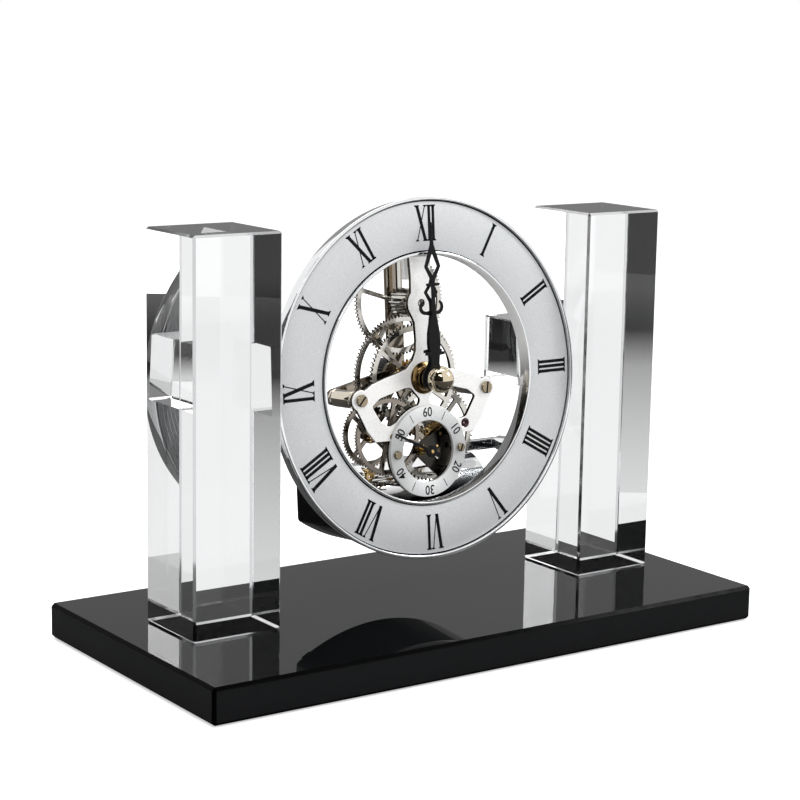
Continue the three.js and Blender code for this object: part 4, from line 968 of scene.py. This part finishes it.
ring_front, ring_back = depths("seconds_ring")
profile = softened(washer(RING_INNER, RING_OUTER, ring_front, ring_back), 0.1, 2)
holes = [(side * RING_SCREW, SECONDS[1], PIVOT_HOLE) for side in (-1, 1)]
seconds_ring = drilled(turned(profile, 96, *SECONDS), holes, ring_front, ring_back)
bright_silver = swept_silver(CLOCK @ Vector((SECONDS[0], ring_front, SECONDS[1])))
fit(seconds_ring, "seconds_ring", bright_silver, 35)
ink_depth = ring_front - INK_GAP
tick = [(TICK_INNER, -TICK_HALF), (TICK_OUTER, -TICK_HALF), (TICK_OUTER, TICK_HALF), (TICK_INNER, TICK_HALF)]
ticks = [spun(tick, radians(90 - heading), 0, SECONDS[1]) for heading in (-30, 30, 150, 210)]
marks = flat_solid(ticks, ink_depth - INK, ink_depth)
for tens in range(6):
    marks = merged(marks, number_shape(str(tens * 10 or 60), tens * 60, ink_depth))
fit(marks, "seconds_marks", INK_BLACK, replaced=[])

# Seconds cock: a small bridge behind the front plate that carries the rear
# pivots of the seconds arbor and the motion work. Its near-black plating is painted shade.
COCK_FEET = ((11.3, -17.5), (8.5, -30.6))
COCK_ARM = 2.0
COCK_FOOT = 1.8
COCK_THICKNESS = 0.9
SHADE_BLACK_NICKEL = plated("shade_black_nickel", (0.06, 0.055, 0.05), 0.12, 0.25, 200)

cock_front, cock_back = depths("seconds_cock")
cock_face = cock_back - COCK_THICKNESS
bars = [bar(SECONDS, COCK_FEET[0], COCK_ARM), bar(SECONDS, COCK_FEET[1], COCK_ARM), bar(*COCK_FEET, COCK_ARM)]
cock = [edged_plate([points], cock_face, cock_back, 0.08) for points in bars]
cock += [rod(COCK_FOOT, cock_front, cock_face + 0.3, *foot) for foot in COCK_FEET]
cock = drilled(joined(cock), [(*SECONDS, PIVOT_HOLE), (*MOTION, PIVOT_HOLE)], cock_front, cock_back)
punched(cock, "seconds_cock", SHADE_BLACK_NICKEL)

# Wheels: blanked from sheet, crossed out, cut with fine teeth and nickel
# plated, with the fine rings that the lathe leaves in their faces.
WHEEL_EDGE = 0.06
SPOKE = 1.3
HUB_WALL = 2.2
NICKEL_TINT = (0.66, 0.64, 0.6)
# Darker tint for the cross and seconds drive wheels: painted shade, as they lie in the movement's shadow.
PAINTED_SHADE_TINT = (0.28, 0.25, 0.22)
CENTRE_MODULE = 0.394
TOP_MODULE = 0.388
SECONDS_MODULE = 0.32
CROSS_MODULE = 0.34
CANNON_MODULE = 2 * hypot(*MOTION) / 88
HOUR_MODULE = 2 * hypot(*MOTION) / 90


def turned_grain_group():
    """Fine concentric lines round an axis: roughness between two values, and a height."""
    inputs = {"Centre": (0.0, 0.0, 0.0), "Axis": (0.0, 1.0, 0.0), "Lines": 9000.0, "Low": 0.1, "High": 0.25}
    group, given, leave = new_group("turned_grain", inputs, ("Roughness", "Height"))
    ends = {0: surface_place(group), 1: given["Centre"]}
    offset = new_node(group, "VectorMath", ends, operation="SUBTRACT").outputs["Vector"]
    across = new_node(group, "VectorMath", {0: offset, 1: given["Axis"]}, operation="CROSS_PRODUCT")
    radius = new_node(group, "VectorMath", {0: across.outputs["Vector"]}, operation="LENGTH").outputs["Value"]
    lines = {"W": radius, "Scale": given["Lines"], "Detail": 2.0}
    lines = new_node(group, "TexNoise", lines, noise_dimensions="1D").outputs["Fac"]
    rough = spread(group, lines, 0.3, 0.7, given["Low"], given["High"])
    feed(group, leave, {"Roughness": rough, "Height": lines})
    return group


GRAIN = turned_grain_group()


def turned_metal(name, tint, x, z, low, high):
    """Plated metal with lathe lines round an arbor of the clock."""
    material, tree, shader = new_material(name, tint, {"Metallic": 1.0})
    values = {"Centre": CLOCK @ Vector((x, 0, z)), "Axis": ALONG_ARBORS, "Low": low, "High": high}
    grain = new_node(tree, "Group", values, node_tree=GRAIN).outputs
    feed(tree, shader, {"Roughness": grain["Roughness"]})
    add_relief(tree, shader, grain["Height"], 0.006, 0.35)
    return material


def toothed(teeth, module, phase, x=0.0, z=0.0):
    """Outline of a gear."""
    root, tip = module * (teeth / 2 - 1), module * (teeth / 2 + 0.72)
    tooth = ((root, -0.23), (tip, -0.1), (tip, 0.1), (root, 0.23))
    steps = [(radius, phase + (i + share) * 2 * pi / teeth) for i in range(teeth) for radius, share in tooth]
    return [(x + radius * cos(a), z + radius * sin(a)) for radius, a in steps]


def meshed(teeth, phase, other_teeth, heading):
    """Phase that puts a gap of the second gear on a tooth of the first, along a heading."""
    share = (heading - phase) * teeth / (2 * pi)
    return heading + pi - 2 * pi / other_teeth * (0.5 - share)


def crossings(count, inner, outer, turn, x, z):
    """Openings between a wheel's spokes, with rounded corners."""
    inner_half = 180 / count - degrees(SPOKE / 2 / inner)
    outer_half = 180 / count - degrees(SPOKE / 2 / outer)
    openings = []
    for middle in [turn + 360 * i / count for i in range(count)]:
        rim = sweep(x, z, outer, middle - outer_half, middle + outer_half, 20)
        hub = sweep(x, z, inner, middle + inner_half, middle - inner_half, 5)
        openings.append(softened(rim + hub, 0.7, 2))
    return openings


def spoked_wheel(node, body, teeth, module, bore, spokes, turn, tint=NICKEL_TINT, phase=0):
    x, z = pivot(body)
    rim = module * teeth / 2 - 3.2 * module - 0.6
    outlines = [toothed(teeth, module, phase, x, z), circle(x, z, bore, 24)]
    outlines += crossings(spokes, bore + HUB_WALL, rim, turn, x, z)
    wheel = edged_plate(outlines, *depths(node), WHEEL_EDGE)
    punched(wheel, node, turned_metal(f"{node}_nickel", tint, x, z, 0.06, 0.2), body)


TO_MOTION = atan2(MOTION[1], MOTION[0])
spoked_wheel("centre_wheel", "minute", 96, CENTRE_MODULE, 1.3, 5, 20)
spoked_wheel("top_wheel", "top", 84, TOP_MODULE, 1.3, 5, 54)
spoked_wheel("hour_wheel", "hour", 72, HOUR_MODULE, 2.5, 4, 10)
spoked_wheel("motion_wheel", "motion", 66, CANNON_MODULE, 0.9, 4, 0, phase=meshed(22, 0, 66, TO_MOTION))
spoked_wheel("cross_wheel", "cross", 60, CROSS_MODULE, 0.9, 4, 0, PAINTED_SHADE_TINT)
spoked_wheel("seconds_drive_wheel", "cross", 75, SECONDS_MODULE, 0.9, 4, 30, PAINTED_SHADE_TINT)

# Pinions and arbors: steel arbors turned to pivots at their ends, with pinion
# leaves cut from the solid, and brass ones on the small arbors.
PIVOT = 0.6
ARBOR = 1.0
DRIVE_PIVOT = 0.5
BRASS = plated("brass", (0.6, 0.42, 0.18), 0.06, 0.16, 200)
STEEL = plated("pinion_steel", (0.62, 0.6, 0.56), 0.07, 0.18, 260)


def add_pinion(node, body, radius, teeth, module, driver_teeth, heading, front, back, steel=False):
    """An arbor with the leaves of its pinion, which mesh with a wheel on the heading."""
    x, z = pivot(body)
    leaves = toothed(teeth, module, meshed(driver_teeth, 0, teeth, heading), x, z)
    pinion = rod(radius, *depths(node), x, z, 28, 0.1)
    pinion = join_solid(pinion, edged_plate([leaves], front, back, WHEEL_EDGE))
    slot, metal = ("chrome", STEEL) if steel else ("brass", BRASS)
    fit(pinion, node, metal, 25, body)


fit(rod(ARBOR, *depths("minute_arbor")), "minute_arbor", STEEL, body="minute")
cannon = [toothed(22, CANNON_MODULE, 0, *pivot("minute")), circle(*pivot("minute"), SCREW_HOLE, 24)]
cannon = edged_plate(cannon, *depths("cannon_pinion"), WHEEL_EDGE)
fit(cannon, "cannon_pinion", BRASS, 25, "minute")
wheels = ("centre_wheel", "hour_wheel", "motion_wheel", "top_wheel")
centre_front, hour_front, motion_front, top_front = [depths(wheel)[0] for wheel in wheels]
cross_front, cross_back = depths("cross_wheel")
wheel_front, wheel_back = depths("seconds_drive_wheel")
TO_CROSS = atan2(CROSS[1], CROSS[0])
TO_SECONDS = atan2(SECONDS[1] - CROSS[1], SECONDS[0] - CROSS[0])
leaves = (hour_front - 0.1, motion_front - SEAT_GAP)
add_pinion("motion_pinion", "motion", PIVOT, 18, HOUR_MODULE, 72, TO_MOTION, *leaves)
leaves = (plate_back + 1.2, top_front - SEAT_GAP)
add_pinion("top_pinion", "top", ARBOR, 21, CENTRE_MODULE, 96, pi / 2, *leaves, steel=True)
leaves = (centre_front - SEAT_GAP, cross_front - SEAT_GAP)
add_pinion("cross_pinion", "cross", PIVOT, 12, CENTRE_MODULE, 96, TO_CROSS, *leaves)
leaves = (cross_front - 0.1, cross_back + 0.1)
add_pinion("drive_pinion", "drive", DRIVE_PIVOT, 10, CROSS_MODULE, 60, -pi / 2, *leaves)
leaves = (wheel_front - 0.2, wheel_back + 0.1)
add_pinion("seconds_arbor", "seconds", PIVOT, 10, SECONDS_MODULE, 75, TO_SECONDS, *leaves)

# Hour work: a brass bushing in the front plate, and the hour tube that turns
# in it, with a collar behind the hour hand. Dark gaps part the gold rings.
TUBE, TUBE_BORE = 2.2, 1.3
COLLAR, COLLAR_THICKNESS = 3.5, 0.8
BUSHING, BUSHING_BORE = 3.6, 2.5

AMBER = turned_metal("amber_brass", (0.24, 0.155, 0.065), 0, 0, 0.08, 0.2)
bush_front, bush_back = depths("centre_bushing")
profile = [(BUSHING_BORE, bush_front), (BUSHING, bush_front), (BUSHING, 2.3), (3.2, 2.5), (BUSHING, 2.7)]
profile += [(4.0, 3.3), (3.7, 3.45), (4.3, 3.6), (5.0, plate_front - 0.25), (5.0, plate_front - 0.03)]
profile += [(BUSHING, plate_front - 0.03), (BUSHING, bush_back), (BUSHING_BORE, bush_back)]
fit(turned(softened(profile, 0.12, 2), 64), "centre_bushing", AMBER)
tube_front, tube_back = depths("hour_tube")
collar_front = depths("hour_hand")[1] + SEAT_GAP
collar_back = collar_front + COLLAR_THICKNESS
profile = [(TUBE, tube_front), (TUBE, collar_front), (COLLAR, collar_front), (COLLAR, collar_back)]
profile += [(TUBE, collar_back), (TUBE, tube_back), (TUBE_BORE, tube_back), (TUBE_BORE, tube_front)]
fit(turned(softened(profile, 0.12, 2), 64), "hour_tube", AMBER, body="hour")

# Hands: pierced from thin steel, japanned matt black. Each has an open diamond,
# a cross-bar and a broad leaf above its hub, and the hour hand two scrolls.
HAND_EDGE = 0.07
SCROLL_STEPS = 14
SECONDS_READING = -63
BLADE = 0.6
HUB_RADIUS = 1.9
matt = {"Specular IOR Level": 0.1}
JAPAN = polished("japan_black", (0.01, 0.01, 0.011), 0.28, 0.42, 350, matt, depth=0.004)


def scroll(side, x, z, radius, start, end, thick):
    """A tapering curl with a round end."""
    outer, inner = [], []
    for t in [i / SCROLL_STEPS for i in range(SCROLL_STEPS + 1)]:
        a = radians(start + (end - start) * t)
        half = thick * (0.62 - 0.24 * t)
        for points, reach in ((outer, radius + half), (inner, radius - half)):
            points.append((side * (x + reach * cos(a)), z + reach * sin(a)))
    return outer + inner[::-1]


def pierced(node, half_outline, diamond, bore):
    """A flat hand from the right half of its outline, pierced with a diamond."""
    openings = [circle(0, 0, *bore), diamond]
    return edged_plate([mirrored(half_outline), *openings], *depths(node), HAND_EDGE)


half_outline = [(0.1, span("minute_hand")[1].z), (0.38, 43.6), (0.6, 41.2), (2.9, 34.5), (0.75, 30.4)]
half_outline += [(0.6, 29.5), (2.35, 29.4), (2.4, 28.7), (0.6, 28.5), (0.55, 25.0), (0.7, 20.5), (1.35, 17.5)]
half_outline += [(1.95, 14.0), (2.05, 11.0), (1.85, 8.5), (3.45, 8.3), (3.5, 7.5), (1.7, 7.3), (1.45, 4.6)]
half_outline += [(2.2, 3.0), (3.2, 1.6), (3.5, 0.0), (3.0, -1.6), (1.6, -2.5)]
diamond = [(0, 38.8), (-1.85, 34.5), (0, 31.6), (1.85, 34.5)]
minute_hand = pierced("minute_hand", half_outline, diamond, (1.3, 24))
fit(minute_hand, "minute_hand", JAPAN, PLATE_SHARP, "minute")

half_outline = [(0.15, span("hour_hand")[1].z), (0.6, 29.3), (2.5, 26.6), (0.75, 23.6), (0.6, 21.0)]
half_outline += [(2.4, 20.6), (2.4, 19.9), (0.8, 19.5), (1.2, 17.0), (1.8, 14.0), (1.95, 11.0), (1.8, 9.2)]
half_outline += [(3.3, 9.0), (3.3, 8.2), (1.7, 8.0), (1.6, 5.4), (2.6, 3.6), (3.7, 2.0), (4.1, 0.0)]
half_outline += [(3.4, -2.2), (1.8, -3.2)]
diamond = [(0, 28.6), (-1.5, 26.6), (0, 24.4), (1.5, 26.6)]
hour_hand = [pierced("hour_hand", half_outline, diamond, (2.5, 28))]
curls = [scroll(side, 2.2, 22.1, 1.8, -92, 62, 0.9) for side in (-1, 1)]
hour_hand += [edged_plate([curl], *depths("hour_hand"), HAND_EDGE) for curl in curls]
fit(joined(hour_hand), "hour_hand", JAPAN, PLATE_SHARP, "hour")

front, back = depths("seconds_hand")
reach = OPENING + SECONDS[1] - 0.3
blade = [(-0.75, -3.5), (0.75, -3.5), (0.5, 2), (0.3, reach - 0.6), (0, reach), (-0.3, reach - 0.6), (-0.5, 2)]
blade = spun(blade, -radians(SECONDS_READING), *SECONDS)
blade = edged_plate([blade], front, front + BLADE, HAND_EDGE)
hub = softened([(0, front), (HUB_RADIUS, front), (HUB_RADIUS, back), (0, back)], 0.2, 3, closed=False)
seconds_hand = join_solid(blade, turned(hub, 32, *SECONDS))
fit(seconds_hand, "seconds_hand", JAPAN, 30, "seconds")

# Ball nut: a turned brass ball, polished and gilt, screwed on the minute arbor
# over the hands.
BALL_STEPS = 40
BALL_BORE = 1.3

GILT = plated("gilt_ball", (0.7, 0.61, 0.45), 0.03, 0.08, 150)
ball_low, ball_high = span("ball_nut")
ball_middle = ball_low.y + ball_high.x
swing = pi / 2 + asin((ball_high.y - ball_middle) / ball_high.x)
profile = [(0.0, ball_low.y)]
for step in range(1, BALL_STEPS + 1):
    angle = -pi / 2 + swing * step / BALL_STEPS
    profile.append((ball_high.x * cos(angle), ball_middle + ball_high.x * sin(angle)))
nut_end = depths("minute_arbor")[0] - SEAT_GAP
profile += [(BALL_BORE, ball_high.y), (BALL_BORE, nut_end), (0, nut_end)]
fit(turned(profile, 64), "ball_nut", GILT, body="minute")

# Drive case: a pressed and chromed cover over the electric drive. Its foot sits
# on the rear of the case ring, and its shoulder is rounded.
DRIVE_AXIS = (26.5, -40.5)
DRIVE_RADIUS = 13.0
DRIVE_WALL = 1.2
DRIVE_INSET = 2.0
SHELF = -40.4
BELOW = -60.0
ARBOR_HOLE = 0.8


def crosswise(shape, depth=0.0, z=0.0):
    """Lays a shape that was made along the arbors across the clock."""
    for vert in shape.verts:
        across, along, up = vert.co
        vert.co = (along, depth + across, z + up)
    return shape


def shell_solid(inset, back):
    """The cover's outside, or its inside when inset by the wall."""
    radius = DRIVE_RADIUS - inset
    rear_angle = degrees(acos((shell_high.y - DRIVE_AXIS[0]) / DRIVE_RADIUS))
    shoulder = sweep(*DRIVE_AXIS, radius, 180, rear_angle, 48)
    front, shelf, reach = shell_low.y + inset, SHELF - inset, shell_high.x - inset
    profile = [(front, BELOW), (front, shelf), (DRIVE_AXIS[0] - radius, shelf), *shoulder[1:]]
    profile += [(back, shoulder[-1][1]), (back, BELOW)]
    outline = rod(case_high.x - DRIVE_INSET - inset, 0, 60, steps=240, edge=0.01)
    return join_solid(crosswise(flat_solid([profile], -reach, reach)), outline, "INTERSECT")


# The cover is painted near black where it faces forward and down, and pale where its shoulder faces up: painted
# shade under the dial ring and a painted highlight on top.
SHELL_PAINTED_CHROME = plated("slope_painted_chrome", (0.02, 0.02, 0.02), 0.03, 0.08)
shade_by_slope(SHELL_PAINTED_CHROME, 0.25, 0.6, Base_Color=(0.012, 0.9))
shell_low, shell_high = span("drive_case")
shell = shell_solid(0, shell_high.y)
corners = [e for e in shell.edges if len(e.link_faces) == 2 and e.calc_face_angle() > radians(40)]
bmesh.ops.bevel(shell, geom=corners, offset=0.35, segments=3, affect="EDGES")
shell = join_solid(shell, shell_solid(DRIVE_WALL, shell_high.y + 2), "DIFFERENCE")
shell = drilled(shell, [(*pivot("drive"), ARBOR_HOLE)], shell_low.y, shell_high.y)
fit(shell, "drive_case", SHELL_PAINTED_CHROME, 30)

# Drive body: a black moulding with a bay for one cell and rails for the door.
# Inside are the board, the stator of punched sheet, and two spring contacts.


def moulded(name, tint, low, high, depth=0.02):
    """Moulded plastic with a fine spark-eroded grain."""
    return satin(name, tint, 1800, low, high, depth)


def dress(node, material):
    """Gives a node that keeps its own shape a finished material."""
    for slot in frame["nodes"][node].material_slots:
        slot.material = material


PLASTIC = moulded("black_plastic", (0.03, 0.03, 0.031), 0.38, 0.55)
dress("drive_body", PLASTIC)
dress("circuit_board", moulded("board_green", (0.02, 0.11, 0.045), 0.3, 0.5))
for node in ("stator", "contact_minus", "contact_plus"):
    dress(node, NICKEL)

# Coil: enamelled copper wire, wound in one visible layer of turns and slipped
# over the stator.
COIL_TURNS = 48
WIRE_DEPTH = 0.1


def along_x(profile, low, high, segments):
    """Turns (x, radius) points about the level line through the middle of a span."""
    shape = turned([(radius, x) for x, radius in profile], segments)
    return crosswise(shape, (low.y + high.y) / 2, (low.z + high.z) / 2)


COPPER = plated("enamelled_copper", (0.7, 0.26, 0.1), 0.15, 0.3, 500)
low, high = span("coil")
coil_radius, pitch = (high.z - low.z) / 2, (high.x - low.x) / COIL_TURNS
profile = [(low.x, 0.0)]
for start in [low.x + i * pitch for i in range(COIL_TURNS)]:
    profile += [(start + 0.04, coil_radius - WIRE_DEPTH), (start + pitch / 2, coil_radius)]
    profile.append((start + pitch - 0.04, coil_radius - WIRE_DEPTH))
profile.append((high.x, 0.0))
fit(along_x(profile, low, high, 32), "coil", COPPER, 60)

# Cell: one dry cell, a steel can in a plain blue-grey plastic sleeve. It lies
# in the bay between the two contacts, its raised end to the right.
SLEEVE = moulded("cell_sleeve", (0.05, 0.09, 0.15), 0.2, 0.35, 0.005)
low, high = span("dry_cell")
start, end, can = low.x, high.x, (high.z - low.z) / 2
profile = [(start, 0), (start, can * 0.7), (start + 0.3, can * 0.8), (start + 0.3, can - 0.3)]
profile += [(start + 0.7, can), (end - 1.7, can), (end - 1.1, can - 0.4), (end - 1.0, 2.2)]
profile += [(end - 0.8, 1.9), (end - 0.1, 1.8), (end, 1.6), (end, 0)]
fit(along_x(profile, low, high, 48), "cell", SLEEVE, 35, replaced=["dry_cell"])

# Battery door: a thin moulded lid that slides sideways on the rails, with
# three ribs for the thumb.
DOOR_THICKNESS = 1.2
SLIDING_GAP = 0.05
RIB_PITCH = 3
RIB_HALF = 0.5
RIB_REACH = 3.5
THUMB_PLACE = 7.5

low, high = span("battery_door")
lid_back, middle = low.y + DOOR_THICKNESS, (low.z + high.z) / 2
door = [ground_block((low.x, low.y + SLIDING_GAP, low.z), (high.x, lid_back, high.z), 0.25, 2)]
for rib_x in [high.x - THUMB_PLACE + step * RIB_PITCH for step in (-1, 0, 1)]:
    rib_low = (rib_x - RIB_HALF, low.y + 0.9, middle - RIB_REACH)
    door.append(ground_block(rib_low, (rib_x + RIB_HALF, high.y, middle + RIB_REACH), 0.2, 2))
fit(joined(door), "battery_door", PLASTIC, 35, "battery_door")

# Setting knob: a ribbed black moulding pressed on the rear end of the minute
# arbor, dished at its middle.
KNOB_RIBS = 30
RIB_STEPS = 8
RIB_DEPTH = 0.25
KNOB_DISH = 0.8
KNOB_RIM = 1.6

low, high = span("set_knob")
rim = []
for angle in [2 * pi * i / (KNOB_RIBS * RIB_STEPS) for i in range(KNOB_RIBS * RIB_STEPS)]:
    radius = high.x - RIB_DEPTH + RIB_DEPTH * cos(KNOB_RIBS * angle)
    rim.append((radius * cos(angle), radius * sin(angle)))
knob = edged_plate([rim, circle(0, 0, SCREW_HOLE)], low.y, high.y, 0.4)
dish = rod(high.x - KNOB_RIM, high.y - KNOB_DISH, high.y + 1, steps=64, edge=0.01)
fit(join_solid(knob, dish, "DIFFERENCE"), "set_knob", PLASTIC, 35, "minute")

# Clamp: a chromed bar with round ends, screwed to the back plate and to a post
# on the rear of the case ring, so that it holds the drive case down.
CLAMP_POST = (40.3, -25.8)
CLAMP_HALF = 1.7
POST_RADIUS = 2.4
POST_HOLE = 4.2

front, back = depths("clamp_bar")
clamp = edged_plate([bar(CLAMP_FOOT, CLAMP_POST, CLAMP_HALF, 16)], front, back, 0.45)
clamp = drilled(clamp, [(*CLAMP_FOOT, SCREW_HOLE), (*CLAMP_POST, SCREW_HOLE)], front, back)
fit(clamp, "clamp_bar", CHROME, 30)
front, back = depths("clamp_post")
profile = [(0, front), (POST_RADIUS, front), (POST_RADIUS, back), (SCREW_HOLE, back)]
profile += [(SCREW_HOLE, back - POST_HOLE), (0, back - POST_HOLE)]
post = turned(softened(profile, 0.15, 2, closed=False), 48, *CLAMP_POST)
fit(post, "clamp_post", CHROME)
add_screw("clamp_screw_inner", 1.4, 1.0, 30, True)
add_screw("clamp_screw_outer", 1.4, 1.0, 75, True)

corners = {"cad": [list(corner) for corner in cad_box], "visual": [list(corner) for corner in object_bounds()]}
